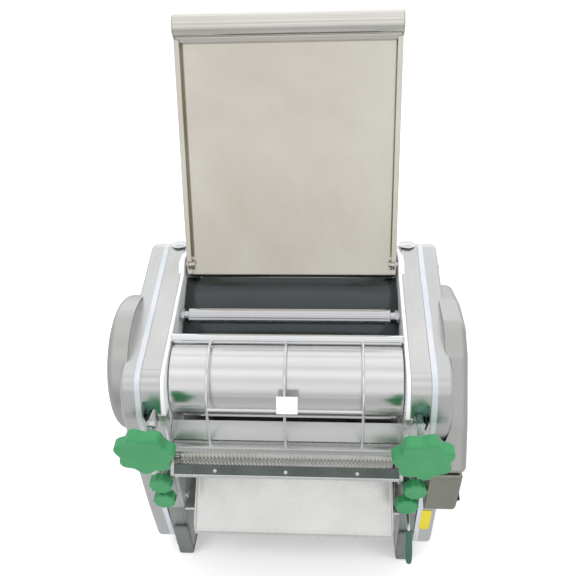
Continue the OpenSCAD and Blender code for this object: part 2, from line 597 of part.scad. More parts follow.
// Drive: motor, belt, jackshaft
module jackshaft() {
  color([0.5, 0.5, 0.52]) O() {
    rod(axJ, 7.5, 130, 185.5);
    gear(axJ, 151.5, 164, gm, z_pin, 2.25, 3.1, 0.12, 43 + 180 / 16, 7);
  }
}
module large_pulley() {
  color([0.4, 0.4, 0.42]) O() difference() {
    union() {
      rod(axJ, big_r - belt_d - 0.3 + 0.3, 172.4, 184.4, 96);
      for (x = [172.4, 182.2]) rod(axJ, big_r, x, x + (x > 180 ? 2.2 : 1.4), 96);
      rod(axJ, 14, 170.4, 185.4, 48);
    }
    rod(axJ, 7.52, 168, 188, 48);
    for (a = [0:60:300]) rod(axJ + 34 * [cos(a), sin(a)], 11, 168, 188, 48);
  }
}
module motor_pulley() {
  color([0.4, 0.4, 0.42]) O() {
    rod(axM, 7, 58.5, 185, 48);
    rod(axM, small_r - belt_d - 0.3, 172.4, 184.4, 64);
    for (x = [172.4, 182.2]) rod(axM, small_r - 0.3, x, x + (x > 180 ? 2.2 : 1.4), 64);
  }
}

// Clamp knobs of the cutter, on fixed studs
function stud(h) = [(260 - h) * front_y, h];
module clamp_studs() {
  color([0.75, 0.76, 0.77]) O() {
    for (s = [-1, 1]) hand(s) ahead(137, stud(175), front_tilt) translate([0, 0, -21.8]) cylinder(h = 46, r = 3, $fn = 32);
    ahead(-137, stud(147), front_tilt) translate([0, 0, -21.8]) cylinder(h = 46, r = 3, $fn = 32);
    ahead(130, stud(147), front_tilt) translate([0, 0, -21.8]) cylinder(h = 46, r = 3, $fn = 32);
  }
}
module small_knob(x, h) {
  ahead(x, stud(h), front_tilt) translate([0, 0, 15.5]) difference() {
    union() {
      linear_extrude(1) polygon(star(11.9, 8, 1.4));
      translate([0, 0, 1]) linear_extrude(8.5) polygon(star(12.7, 8, 1.4));
      translate([0, 0, 9.5]) linear_extrude(1) polygon(star(11.9, 8, 1.4));
      translate([0, 0, -3]) cylinder(h = 4, r = 6.5, $fn = 48);
    }
    translate([0, 0, -4]) cylinder(h = 13, r = 3.06, $fn = 32);
  }
}
module left_upper_knob() { color([0.25, 0.62, 0.40]) O() small_knob(-137, 175); }
module left_lower_knob() { color([0.25, 0.62, 0.40]) O() small_knob(-137, 147); }
module right_upper_knob() { color([0.25, 0.62, 0.40]) O() small_knob(137, 175); }
module right_lower_knob() { color([0.25, 0.62, 0.40]) O() small_knob(130, 147); }

// Clutch lever in the right leg, bent down into the grip
bend_c = [-8, 117.8];
bend_t = 61.6;
module clutch_lever() {
  d = bend_c - axL;
  color([0.75, 0.76, 0.77]) O() {
    rod(axL, 3, 126, 142, 32);
    rod(axL, 5.5, 130.2, 136, 32);
    ahead(133, axL, atan2(-d[1], -d[0])) cylinder(h = norm(d), r = 2, $fn = 32);
    translate([133, bend_c[0], bend_c[1]]) sphere(r = 2.4, $fn = 32);
    ahead(133, bend_c, bend_t) cylinder(h = 33, r = 2, $fn = 32);
  }
}
module lever_grip() {
  color([0.12, 0.32, 0.25]) O() ahead(133, bend_c, bend_t) difference() {
    union() {
      translate([0, 0, 2.8]) cylinder(h = 33.2, r1 = 3, r2 = 3.9, $fn = 32);
      translate([0, 0, 36]) sphere(r = 3.9, $fn = 32);
    }
    translate([0, 0, -3]) cylinder(h = 36.2, r = 2.02, $fn = 32);
  }
}

left_side_frame();
right_side_frame();
left_cheek_liner();
right_cheek_liner();
left_trim_band();
right_trim_band();
left_main_cover();
right_main_cover();
left_gear_cover();
right_belt_cover();
control_box();
rear_cover();
base_pan();
tie_rods();
throat_bar();
feed_plate();
front_scraper();
rear_scraper();
guard_bar();
guard_wires();
guard_clips();
discharge_chute();
panel_screws();
tray_pivot_pins();
rubber_feet();
motor_body();
motor_bracket();
run_capacitor();
cord_gland();
roller_bearings();
gap_nuts();
drive_belt();
cutter_end_plates();
cutter_top_bar();
cutter_comb_plate();
clamp_studs();
feed_tray();
tray_end_caps();
rear_roller();
rear_roller_gear();
main_gear();
front_roller();
front_roller_gear();
front_bearing_blocks();
left_gap_screw();
left_gap_knob();
right_gap_screw();
right_gap_knob();
jackshaft();
large_pulley();
motor_pulley();
upper_cutter_roller();
lower_cutter_roller();
left_upper_knob();
left_lower_knob();
right_upper_knob();
right_lower_knob();
clutch_lever();
lever_grip();
power_rocker();
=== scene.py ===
import math
import random

import bmesh
import bpy
from mathutils import Matrix, Vector
from mathutils.geometry import tessellate_polygon


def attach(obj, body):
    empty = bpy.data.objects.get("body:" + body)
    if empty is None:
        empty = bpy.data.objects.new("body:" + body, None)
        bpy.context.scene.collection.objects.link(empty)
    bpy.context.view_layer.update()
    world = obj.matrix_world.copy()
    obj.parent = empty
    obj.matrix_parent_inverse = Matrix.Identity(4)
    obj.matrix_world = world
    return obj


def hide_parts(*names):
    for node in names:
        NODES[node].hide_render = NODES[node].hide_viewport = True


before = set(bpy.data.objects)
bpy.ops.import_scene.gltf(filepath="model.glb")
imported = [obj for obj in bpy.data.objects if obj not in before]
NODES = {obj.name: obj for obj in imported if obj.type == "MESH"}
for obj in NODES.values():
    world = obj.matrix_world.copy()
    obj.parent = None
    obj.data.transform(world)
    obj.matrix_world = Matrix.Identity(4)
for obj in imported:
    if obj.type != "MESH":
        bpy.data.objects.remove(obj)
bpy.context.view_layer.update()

YO = 115.05  # mm, from the front-most point of the side outline to the origin
RND = random.Random(7)

# ------------------------------------------------------------------ camera
CAM = Vector((48.0, -538.7, 712.0))
YAW, PITCH, ROLL, FOCAL = math.radians(4.25), math.radians(28.96), math.radians(1.81), 680.0


def make_camera():
    cy, sy, cp, sp = math.cos(YAW), math.sin(YAW), math.cos(PITCH), math.sin(PITCH)
    fwd = Vector((-sy * cp, cy * cp, -sp))
    right = Vector((cy, sy, 0))
    down = fwd.cross(right)
    if down.z > 0:
        down = -down
    r2 = math.cos(ROLL) * right + math.sin(ROLL) * down
    d2 = -math.sin(ROLL) * right + math.cos(ROLL) * down
    data = bpy.data.cameras.new("camera")
    data.sensor_width = 36.0
    data.lens = 36.0 * FOCAL / 576.0
    data.clip_start, data.clip_end = 0.01, 50
    cam = bpy.data.objects.new("camera", data)
    bpy.context.scene.collection.objects.link(cam)
    m = Matrix((r2, -d2, -fwd)).transposed().to_4x4()
    m.translation = Vector((CAM.x, CAM.y - YO, CAM.z)) * 0.001
    cam.matrix_world = m
    bpy.context.scene.camera = cam


make_camera()

# --------------------------------------------------------------- materials


def node_material(name, metallic=0.0, roughness=0.5):
    m = bpy.data.materials.new(name)
    m.use_nodes = True
    t = m.node_tree
    b = next(n for n in t.nodes if n.type == "BSDF_PRINCIPLED")
    b.inputs["Metallic"].default_value = metallic
    b.inputs["Roughness"].default_value = roughness
    return m, t, b


def tex_coord(t, scale=(1, 1, 1), rot=(0, 0, 0)):
    c = t.nodes.new("ShaderNodeTexCoord")
    mp = t.nodes.new("ShaderNodeMapping")
    mp.inputs["Scale"].default_value = scale
    mp.inputs["Rotation"].default_value = rot
    t.links.new(c.outputs["Object"], mp.inputs["Vector"])
    return mp.outputs["Vector"]


def noise(t, vec, scale=5, detail=4, rough=0.5, distort=0.0):
    n = t.nodes.new("ShaderNodeTexNoise")
    n.inputs["Scale"].default_value = scale
    n.inputs["Detail"].default_value = detail
    n.inputs["Roughness"].default_value = rough
    n.inputs["Distortion"].default_value = distort
    t.links.new(vec, n.inputs["Vector"])
    return n.outputs["Fac"]


def ramp(t, fac, stops):
    r = t.nodes.new("ShaderNodeValToRGB")
    e = r.color_ramp.elements
    while len(e) < len(stops):
        e.new(0.5)
    for k, (pos, col) in enumerate(stops):
        e[k].position = pos
        e[k].color = col if len(col) == 4 else (*col, 1)
    t.links.new(fac, r.inputs["Fac"])
    return r.outputs["Color"]


def remap(t, fac, lo, hi, a=0.0, b=1.0):
    r = t.nodes.new("ShaderNodeMapRange")
    r.inputs["From Min"].default_value = a
    r.inputs["From Max"].default_value = b
    r.inputs["To Min"].default_value = lo
    r.inputs["To Max"].default_value = hi
    t.links.new(fac, r.inputs["Value"])
    return r.outputs["Result"]


def mix(t, fac, a, b, kind="MIX"):
    """Mixes two colours; a and b are sockets or colours, fac a socket or number."""
    n = t.nodes.new("ShaderNodeMix")
    n.data_type = "RGBA"
    n.blend_type = kind
    n.clamp_factor = True
    if isinstance(fac, (int, float)):
        n.inputs[0].default_value = fac
    else:
        t.links.new(fac, n.inputs[0])
    for i, v in ((6, a), (7, b)):
        if isinstance(v, (tuple, list)):
            n.inputs[i].default_value = (*v, 1) if len(v) == 3 else v
        else:
            t.links.new(v, n.inputs[i])
    return n.outputs[2]


def math_node(t, op, a, b=None):
    n = t.nodes.new("ShaderNodeMath")
    n.operation = op
    for i, v in enumerate([a] if b is None else [a, b]):
        if isinstance(v, (int, float)):
            n.inputs[i].default_value = v
        else:
            t.links.new(v, n.inputs[i])
    return n.outputs[0]


def bump(t, b, fac, strength, distance):
    n = t.nodes.new("ShaderNodeBump")
    n.inputs["Strength"].default_value = strength
    n.inputs["Distance"].default_value = distance
    t.links.new(fac, n.inputs["Height"])
    t.links.new(n.outputs["Normal"], b.inputs["Normal"])
    return n


def steel(name, tone, dark, rough=(0.2, 0.35), grain=(6, 900, 900), line=0.04, spots=6.0, rot=(0, 0, 0), smudge=1.0):
    """Sheet or turned steel: cloudy tone, drawn lines along the short-scale axis, patchy gloss."""
    m, t, b = node_material(name, 1.0, 0.3)
    flat = tex_coord(t)
    lines = tex_coord(t, grain, rot)
    cloud = noise(t, flat, spots, 5, 0.55, 0.4)
    fine = noise(t, lines, 1.0, 3, 0.6)
    cl = remap(t, cloud, 0, 1, 0.5 - 0.28 / smudge, 0.5 + 0.28 / smudge)
    col = mix(t, cl, dark, tone)
    col2 = mix(t, remap(t, fine, 0.0, 1.0, 0.3, 0.7), tuple(x * (1 - line) for x in (1, 1, 1)), (1, 1, 1))
    t.links.new(mix(t, 1.0, col, col2, "MULTIPLY"), b.inputs["Base Color"])
    patch = noise(t, flat, spots * 2.3, 4, 0.6)
    r = math_node(t, "ADD", remap(t, patch, rough[0], rough[1], 0.3, 0.7), remap(t, fine, -0.03, 0.03, 0.3, 0.7))
    t.links.new(r, b.inputs["Roughness"])
    bump(t, b, fine, 0.03, 0.0003)
    return m


def mirror_metal(name, tone, rough=0.08, wobble=0.02, scale=9.0, marks=0.25):
    m, t, b = node_material(name, 1.0, rough)
    flat = tex_coord(t)
    cloud = noise(t, flat, scale, 3, 0.5)
    t.links.new(mix(t, remap(t, cloud, 0, 1, 0.35, 0.65), tuple(x * 0.93 for x in tone), tone), b.inputs["Base Color"])
    rub = noise(t, tex_coord(t, (30, 700, 700)), 1.0, 3, 0.6)
    t.links.new(remap(t, rub, rough * (1 - marks), rough * (1 + 2 * marks), 0.35, 0.75), b.inputs["Roughness"])
    bump(t, b, noise(t, flat, scale * 3, 2, 0.4), wobble, 0.002)
    return m


def plastic(name, tone, dark, rough=(0.3, 0.45), grain=900.0, depth=0.12, coat=0.0, spec=0.5):
    m, t, b = node_material(name, 0.0, 0.4)
    flat = tex_coord(t)
    cloud = noise(t, flat, 35, 4, 0.6)
    t.links.new(mix(t, remap(t, cloud, 0, 1, 0.3, 0.7), dark, tone), b.inputs["Base Color"])
    t.links.new(remap(t, noise(t, flat, 120, 3, 0.6), rough[0], rough[1], 0.3, 0.7), b.inputs["Roughness"])
    bump(t, b, noise(t, flat, grain, 2, 0.5), depth, 0.0002)
    b.inputs["Coat Weight"].default_value = coat
    b.inputs["Coat Roughness"].default_value = 0.15
    b.inputs["Specular IOR Level"].default_value = spec
    return m


def cast(name, k=1.0):
    """Painted casting, grey, darker below a height of about 95 mm."""
    m, t, b = node_material(name, 0.0, 0.4)
    flat = tex_coord(t)
    cloud = remap(t, noise(t, flat, 30, 4, 0.6), 0, 1, 0.3, 0.7)
    light = mix(t, cloud, srgb(138 * k, 144 * k, 143 * k), srgb(163 * k, 167 * k, 166 * k))
    dark = mix(t, cloud, srgb(106, 113, 111), srgb(124, 130, 128))
    sep = t.nodes.new("ShaderNodeSeparateXYZ")
    t.links.new(tex_coord(t), sep.inputs[0])
    z = math_node(t, "ADD", sep.outputs["Z"], remap(t, noise(t, flat, 60, 2), -0.001, 0.001))
    t.links.new(mix(t, remap(t, z, 0.0, 1.0, 0.0945, 0.096), dark, light), b.inputs["Base Color"])
    t.links.new(remap(t, noise(t, flat, 120, 3, 0.6), 0.32, 0.5, 0.3, 0.7), b.inputs["Roughness"])
    bump(t, b, noise(t, flat, 500, 2, 0.5), 0.22, 0.0002)
    b.inputs["Coat Weight"].default_value = 0.3
    b.inputs["Coat Roughness"].default_value = 0.2
    return m


def paint_rim_highlight(m, inner, outer):
    """Paints a pale bluish highlight strip along the rim of a cover, less metallic, between two distances from the
    middle plane.
    """
    t = m.node_tree
    b = next(n for n in t.nodes if n.type == "BSDF_PRINCIPLED")
    flat = tex_coord(t)
    sep = t.nodes.new("ShaderNodeSeparateXYZ")
    t.links.new(flat, sep.inputs[0])
    x = math_node(t, "ADD", math_node(t, "ABSOLUTE", sep.outputs["X"]), remap(t, noise(t, flat, 30, 3, 0.6), -0.0004, 0.0004, 0.3, 0.7))
    f = math_node(t, "MULTIPLY", remap(t, x, 1.0, 0.0, outer, outer + 0.0003), remap(t, x, 0.0, 1.0, inner, inner + 0.0003))
    col = b.inputs["Base Color"].links[0].from_socket
    # painted highlight: the rim strip is mixed towards a pale bluish tint
    rim_highlight_tint = mix(t, remap(t, noise(t, flat, 26, 3, 0.6), 0, 1, 0.35, 0.65), srgb(208, 217, 228), srgb(224, 228, 234))
    t.links.new(mix(t, math_node(t, "MULTIPLY", f, 0.7), col, rim_highlight_tint), b.inputs["Base Color"])
    t.links.new(remap(t, f, 1.0, 0.35), b.inputs["Metallic"])
    return m


def srgb(r, g, b):
    def f(c):
        c /= 255
        return c / 12.92 if c <= 0.04045 else ((c + 0.055) / 1.055) ** 2.4
    return (f(r), f(g), f(b))


MAT = {
    "cast_grey": cast("cast_grey"),
    "nylon": plastic("nylon", srgb(246, 247, 248), srgb(236, 238, 240), (0.3, 0.45), 700, 0.06),
    "polished_steel": mirror_metal("polished_steel", (0.68, 0.69, 0.71), 0.09, 0.04),
    "guard_chrome": mirror_metal("guard_chrome", (0.9, 0.91, 0.93), 0.08, 0.02),
    "roller_chrome": mirror_metal("roller_chrome", (0.87, 0.87, 0.865), 0.2, 0.012, 6.0, 0.1),
    # the covers' steel is painted lighter and the bulges' copy of it darker: painted light and shade on one stainless
    "cover_steel": paint_rim_highlight(steel("cover_steel", (0.77, 0.775, 0.78), (0.66, 0.665, 0.67), (0.26, 0.38), (900, 40, 40), 0.04, 5.0), 0.1470, 0.1532),
    "bulge_steel": steel("bulge_steel", (0.62, 0.62, 0.61), (0.53, 0.53, 0.52), (0.28, 0.4), (900, 40, 40), 0.04, 5.0),
    "band_steel": steel("band_steel", (0.8, 0.8, 0.8), (0.68, 0.68, 0.67), (0.16, 0.26), (1200, 30, 30), 0.06, 14.0),
    "bright_steel": steel("bright_steel", (0.84, 0.85, 0.86), (0.7, 0.71, 0.72), (0.12, 0.24), (500, 60, 60), 0.06, 60.0),
    "cutter_steel": steel("cutter_steel", (0.74, 0.73, 0.70), (0.6, 0.59, 0.56), (0.24, 0.4), (400, 60, 60), 0.06, 40.0),
    "tray_roll": steel("tray_roll", (0.86, 0.84, 0.80), (0.76, 0.735, 0.685), (0.15, 0.24), (10, 900, 900), 0.05, 6.0),
    # a brighter copy of the cast paint, painted light on the legs' inner faces, which lie in shade
    "cast_light": cast("cast_light", 1.06),
    "tray_steel": steel("tray_steel", (0.87, 0.855, 0.80), (0.64, 0.59, 0.50), (0.11, 0.2), (1200, 14, 14), 0.03, 4.0),
    "chute_steel": steel("chute_steel", (0.93, 0.925, 0.915), (0.8, 0.79, 0.77), (0.22, 0.34), (700, 16, 16), 0.04, 14.0),
    "pan_steel": steel("pan_steel", (0.6, 0.6, 0.59), (0.5, 0.5, 0.49), (0.25, 0.4), (8, 900, 900), 0.06, 7.0),
    "plate_steel": steel("plate_steel", (0.72, 0.73, 0.72), (0.58, 0.6, 0.59), (0.18, 0.3), (8, 900, 900), 0.06, 8.0),
    # near-black base colour: a painted reflection of dark surroundings in the polished feed plate
    "plate_painted_dark_reflection": mirror_metal("plate_painted_dark_reflection", (0.085, 0.095, 0.1), 0.16, 0.03),
    "comb_dark": steel("comb_dark", (0.19, 0.215, 0.205), (0.11, 0.127, 0.12), (0.1, 0.18), (8, 900, 900), 0.08, 30.0),
    # dark olive tone: painted shade on the control box, which is the same stainless as the covers
    "box_steel": steel("box_steel", (0.385, 0.4, 0.34), (0.32, 0.335, 0.28), (0.3, 0.42), (900, 30, 30), 0.05, 12.0),
    "machined": steel("machined", (0.6, 0.6, 0.61), (0.45, 0.45, 0.46), (0.2, 0.35), (600, 60, 60), 0.08, 40.0),
    "iron": plastic("iron", srgb(96, 96, 98), srgb(70, 70, 72), (0.4, 0.6), 350, 0.4),
    "bronze": steel("bronze", (0.62, 0.47, 0.22), (0.45, 0.33, 0.14), (0.25, 0.4), (600, 60, 60), 0.08, 40.0),
    "foot_rubber": plastic("foot_rubber", srgb(118, 124, 122), srgb(100, 106, 104), (0.55, 0.75), 600, 0.3),
    "belt_rubber": plastic("belt_rubber", srgb(34, 34, 34), srgb(22, 22, 22), (0.6, 0.8), 500, 0.3),
    "motor_paint": plastic("motor_paint", srgb(78, 84, 88), srgb(60, 66, 70), (0.35, 0.5), 500, 0.2),
    "light_plastic": plastic("light_plastic", srgb(214, 214, 210), srgb(200, 200, 196), (0.25, 0.35), 600, 0.06),
    "black_plastic": plastic("black_plastic", srgb(30, 30, 31), srgb(20, 20, 21), (0.35, 0.5), 900, 0.2),
    "green": plastic("green", srgb(60, 148, 94), srgb(52, 139, 86), (0.3, 0.45), 420, 0.1, 0.12),
    "dark_green": plastic("dark_green", srgb(54, 104, 88), srgb(42, 88, 72), (0.28, 0.42), 500, 0.2, 0.2),
    # green on the gap nuts: a painted reflection of the green knob in the polished window
    "nut_painted_knob_reflection": plastic("nut_painted_knob_reflection", srgb(122, 172, 156), srgb(106, 156, 138), (0.3, 0.45), 500, 0.15, 0.1),
    "clip_steel": steel("clip_steel", (0.9, 0.9, 0.9), (0.82, 0.82, 0.82), (0.35, 0.45), (500, 60, 60), 0.04, 40.0),
    "scraper_steel": steel("scraper_steel", (0.70, 0.71, 0.70), (0.62, 0.63, 0.62), (0.34, 0.46), (8, 900, 900), 0.05, 6.0),
    "white_card": plastic("white_card", srgb(250, 246, 244), srgb(244, 240, 238), (0.4, 0.5), 900, 0.03),
    "yellow_card": plastic("yellow_card", srgb(228, 212, 18), srgb(216, 198, 12), (0.4, 0.5), 900, 0.03),
}

LOOK = {
    "cast_grey": ["left_side_frame", "right_side_frame"],
    "nylon": ["left_cheek_liner", "right_cheek_liner"],
    "polished_steel": ["left_trim_band", "right_trim_band", "throat_bar"],
    "guard_chrome": ["guard_bar", "guard_wires"],
    "roller_chrome": ["front_roller", "rear_roller", "upper_cutter_roller", "lower_cutter_roller"],
    "cover_steel": ["left_main_cover", "right_main_cover", "left_gear_cover", "right_belt_cover", "rear_cover"],
    "tray_steel": ["feed_tray", "tray_end_caps"],
    "chute_steel": ["discharge_chute"],
    "pan_steel": ["base_pan"],
    "plate_steel": ["rear_scraper", "cutter_end_plates", "cutter_top_bar"],
    "plate_painted_dark_reflection": ["feed_plate"],
    "comb_dark": ["cutter_comb_plate"],
    "box_steel": ["control_box"],
    "machined": ["tie_rods", "roller_bearings", "jackshaft", "rear_roller_gear", "front_roller_gear", "main_gear",
                 "left_gap_screw", "right_gap_screw", "clamp_studs", "clutch_lever", "panel_screws",
                 "tray_pivot_pins", "motor_bracket"],
    "iron": ["large_pulley", "motor_pulley"],
    "bronze": ["front_bearing_blocks"],
    "foot_rubber": ["rubber_feet"],
    "belt_rubber": ["drive_belt"],
    "motor_paint": ["motor_body"],
    "light_plastic": ["run_capacitor"],
    "black_plastic": ["cord_gland", "power_rocker"],
    "green": ["left_gap_knob", "right_gap_knob", "left_upper_knob", "left_lower_knob", "right_upper_knob",
              "right_lower_knob"],
    "dark_green": ["lever_grip"],
    "nut_painted_knob_reflection": ["gap_nuts"],
    "clip_steel": ["guard_clips"],
    "scraper_steel": ["front_scraper"],
}
for _mat, _nodes in LOOK.items():
    for _n in _nodes:
        _o = NODES[_n]
        _o.data.materials.clear()
        _o.data.materials.append(MAT[_mat])

# ------------------------------------------------------------ mesh helpers


def V(x, y, h):
    """Millimetres in the machine's own outline frame to metres in the row frame."""
    return Vector((x, y - YO, h)) * 0.001


def unit2(a, b):
    n = math.hypot(a, b)
    return (a / n, b / n) if n > 1e-9 else (0.0, 0.0)


def inset(p, d):
    """Moves every edge of a counter-clockwise outline inwards by d."""
    out = []
    n = len(p)
    for k in range(n):
        a, b, c = p[k - 1], p[k], p[(k + 1) % n]
        e1, e2 = unit2(b[0] - a[0], b[1] - a[1]), unit2(c[0] - b[0], c[1] - b[1])
        n1, n2 = (-e1[1], e1[0]), (-e2[1], e2[0])
        q = d / max(0.25, 1 + n1[0] * n2[0] + n1[1] * n2[1])
        out.append((b[0] + q * (n1[0] + n2[0]), b[1] + q * (n1[1] + n2[1])))
    return out


def fillet(p, r, step=6.13):
    """Rounds every corner k of an outline to the radius r[k]."""
    out = []
    n = len(p)
    for k in range(n):
        a, b, c = Vector(p[k - 1]), Vector(p[k]), Vector(p[(k + 1) % n])
        u, w = (a - b).normalized(), (c - b).normalized()
        ang = math.acos(max(-1, min(1, u.dot(w))))
        q = max(r[k], 0.2)
        t = q / math.tan(ang / 2)
        p1, p2 = b + u * t, b + w * t
        cen = b + (u + w).normalized() * q / math.sin(ang / 2)
        a1 = math.atan2(p1.y - cen.y, p1.x - cen.x)
        a2 = math.atan2(p2.y - cen.y, p2.x - cen.x)
        da = (a2 - a1 + 3 * math.pi) % (2 * math.pi) - math.pi
        m = max(3, int(abs(math.degrees(da)) / step + 1))
        for i in range(m + 1):
            out.append((cen.x + q * math.cos(a1 + da * i / m), cen.y + q * math.sin(a1 + da * i / m)))
    return out


def rnd(p, r):
    return fillet(p, [r] * len(p))


def ccw(loop):
    s = sum(a[0] * b[1] - a[1] * b[0] for a, b in zip(loop, loop[1:] + loop[:1]))
    return loop if s > 0 else loop[::-1]


def circle(c, r, n=48):
    return [(c[0] + r * math.cos(2 * math.pi * i / n), c[1] + r * math.sin(2 * math.pi * i / n)) for i in range(n)]


def dist_in(loop, y, h):
    """Distance of a point from a closed outline, positive inside it."""
    best, inside = 1e9, False
    n = len(loop)
    for i in range(n):
        (ax, ay), (bx, by) = loop[i], loop[(i + 1) % n]
        dx, dy = bx - ax, by - ay
        q = dx * dx + dy * dy
        t = 0 if q < 1e-12 else max(0, min(1, ((y - ax) * dx + (h - ay) * dy) / q))
        best = min(best, math.hypot(ax + t * dx - y, ay + t * dy - h))
        if (ay > h) != (by > h) and y < (bx - ax) * (h - ay) / (by - ay) + ax:
            inside = not inside
    return best if inside else -best


class Frame:
    """Local axes in millimetres, from an origin in metres."""

    def __init__(self, o, ex, ey, ez):
        self.o, self.x, self.y, self.z = o, Vector(ex), Vector(ey), Vector(ez)

    def __call__(self, x, y, z):
        return self.o + (self.x * x + self.y * y + self.z * z) * 0.001


def along_x(c):
    """Local Z runs along the machine's X, through the point c of the side view."""
    return Frame(V(0, c[0], c[1]), (0, 1, 0), (0, 0, 1), (1, 0, 0))


def ahead(x, c, t):
    """Local Z runs forward and down by t degrees from c, local X along the machine's X."""
    a = math.radians(t)
    return Frame(V(x, c[0], c[1]), (1, 0, 0), (0, -math.sin(a), math.cos(a)), (0, -math.cos(a), -math.sin(a)))


class Shape:
    def __init__(self):
        self.v, self.f, self.m = [], [], []

    def ring(self, pts):
        k = len(self.v)
        self.v.extend(pts)
        return list(range(k, len(self.v)))

    def face(self, idx, m=0):
        self.f.append(tuple(idx))
        self.m.append(m)

    def skin(self, a, b, m=0, closed=True):
        n = len(a)
        for i in range(n if closed else n - 1):
            j = (i + 1) % n
            self.face((a[i], a[j], b[j], b[i]), m)

    def cap(self, loops, m=0):
        flat = [i for lp in loops for i in lp]
        for tri in tessellate_polygon([[self.v[i] for i in lp] for lp in loops]):
            self.face([flat[i] for i in tri], m)

    # an outline with rounded rims, extruded along X (or along a frame's Z)
    def prism(self, loop, x0, x1, b=0.6, holes=(), m=0, n=3, fr=None, b1=None):
        loop = ccw(loop)
        b1 = b if b1 is None else b1

        def rings(lp, sign):
            res = []
            for k in range(n + 1):
                a = math.pi / 2 * k / n
                res.append((x0 + b - b * math.cos(a), sign * (b - b * math.sin(a))))
            for k in range(n, -1, -1):
                a = math.pi / 2 * k / n
                res.append((x1 - b1 + b1 * math.cos(a), sign * (b1 - b1 * math.sin(a))))
            if fr:
                return [self.ring([fr(u, w, x) for u, w in inset(lp, d)]) for x, d in res]
            return [self.ring([V(x, y, h) for y, h in inset(lp, d)]) for x, d in res]

        allr = [rings(loop, 1)] + [rings(ccw(h), -1) for h in holes]
        for q in allr:
            for a, c in zip(q, q[1:]):
                self.skin(a, c, m)
        self.cap([q[0] for q in allr], m)
        self.cap([q[-1] for q in allr], m)

    # a solid of revolution: prof is [(radius, z)] along the frame's Z
    def lathe(self, fr, prof, seg=48, m=0):
        prev = None
        for r, z in prof:
            if r < 1e-6:
                cur = self.ring([fr(0, 0, z)])
            else:
                cur = self.ring([fr(r * math.cos(2 * math.pi * i / seg), r * math.sin(2 * math.pi * i / seg), z) for i in range(seg)])
            if prev is not None:
                if len(prev) == 1 and len(cur) > 1:
                    for i in range(seg):
                        self.face((prev[0], cur[i], cur[(i + 1) % seg]), m)
                elif len(cur) == 1 and len(prev) > 1:
                    for i in range(seg):
                        self.face((prev[i], prev[(i + 1) % seg], cur[0]), m)
                elif len(cur) > 1:
                    self.skin(prev, cur, m)
            prev = cur

    # a round bar along points
    def tube(self, pts, r, seg=16, m=0, closed=False):
        rings = []
        n = len(pts)
        ref = None
        for i, p in enumerate(pts):
            if closed:
                t = (pts[(i + 1) % n] - pts[i - 1]).normalized()
            else:
                t = (pts[min(i + 1, n - 1)] - pts[max(i - 1, 0)]).normalized()
            if ref is None:
                ref = t.orthogonal().normalized()
            u = (ref - t * ref.dot(t)).normalized()
            ref = u
            w = t.cross(u)
            rings.append(self.ring([p + (u * math.cos(2 * math.pi * k / seg) + w * math.sin(2 * math.pi * k / seg)) * r * 0.001 for k in range(seg)]))
        for a, b in zip(rings, rings[1:]):
            self.skin(a, b, m)
        if closed:
            self.skin(rings[-1], rings[0], m)
        else:
            self.cap([rings[0]], m)
            self.cap([rings[-1]], m)

    # a pressed pan with wall thickness t; start gives where its rim begins
    def pan(self, p, r, x0, x1, e, t, s=1, start=None, m=0, n=8):
        def shell(extra, xe, ee):
            rings = []
            base = fillet(inset(p, extra), [max(q - extra, 0.5) for q in r])
            rings.append(self.ring([V(s * (start(y, h) if start else x0), y, h) for y, h in base]))
            for k in range(n + 1):
                a = math.pi / 2 * k / n
                d = extra + ee - ee * math.cos(a)
                lp = fillet(inset(p, d), [max(q - d, 0.5) for q in r])
                rings.append(self.ring([V(s * (xe - ee + ee * math.sin(a)), y, h) for y, h in lp]))
            for a, b in zip(rings, rings[1:]):
                self.skin(a, b, m)
            self.cap([rings[-1]], m)
            return rings[0]

        a = shell(0, x1, e)
        b = shell(t, x1 - t, max(e - t, 0.6))
        self.skin(a, b, m)


def mesh_of(name, s, sharp=34):
    me = bpy.data.meshes.new(name)
    me.from_pydata(s.v, [], s.f)
    me.polygons.foreach_set("material_index", s.m)
    bm = bmesh.new()
    bm.from_mesh(me)
    bmesh.ops.remove_doubles(bm, verts=bm.verts, dist=2e-6)
    bmesh.ops.dissolve_degenerate(bm, dist=1e-6, edges=bm.edges)
    bmesh.ops.recalc_face_normals(bm, faces=bm.faces)
    bm.to_mesh(me)
    bm.free()
    return me


def smooth(me, sharp=34):
    me.polygons.foreach_set("use_smooth", [True] * len(me.polygons))
    me.set_sharp_from_angle(angle=math.radians(sharp))


def piece(name, s, mats, body="housing", nodes=(), sharp=34, cutters=(), weighted=True):
    """Makes one piece of the machine from a shape, cuts holes in it, and hangs it on its body."""
    me = mesh_of(name, s)
    o = bpy.data.objects.new(name, me)
    bpy.context.scene.collection.objects.link(o)
    mats = [mats] if isinstance(mats, str) else mats
    for mt in mats:
        me.materials.append(MAT[mt])
    if cutters:
        extra = []
        for k, c in enumerate(cutters):
            co = bpy.data.objects.new(name + "_cut%d" % k, mesh_of(name + "_cut", c))
            bpy.context.scene.collection.objects.link(co)
            md = o.modifiers.new("cut%d" % k, "BOOLEAN")
            md.object, md.operation, md.solver = co, "DIFFERENCE", "EXACT"
            extra.append(co)
        bpy.context.view_layer.update()
        dg = bpy.context.evaluated_depsgraph_get()
        new = bpy.data.meshes.new_from_object(o.evaluated_get(dg), depsgraph=dg)
        o.modifiers.clear()
        o.data = new
        new.name = name
        for c in extra:
            bpy.data.objects.remove(c)
        me = new
    smooth(me, sharp)
    if weighted:
        w = o.modifiers.new("normals", "WEIGHTED_NORMAL")
        w.keep_sharp = True
        w.weight = 60
    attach(o, body)
    if nodes:
        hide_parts(*nodes)
    return o


# --------------------------------------------------------- the outlines, mm

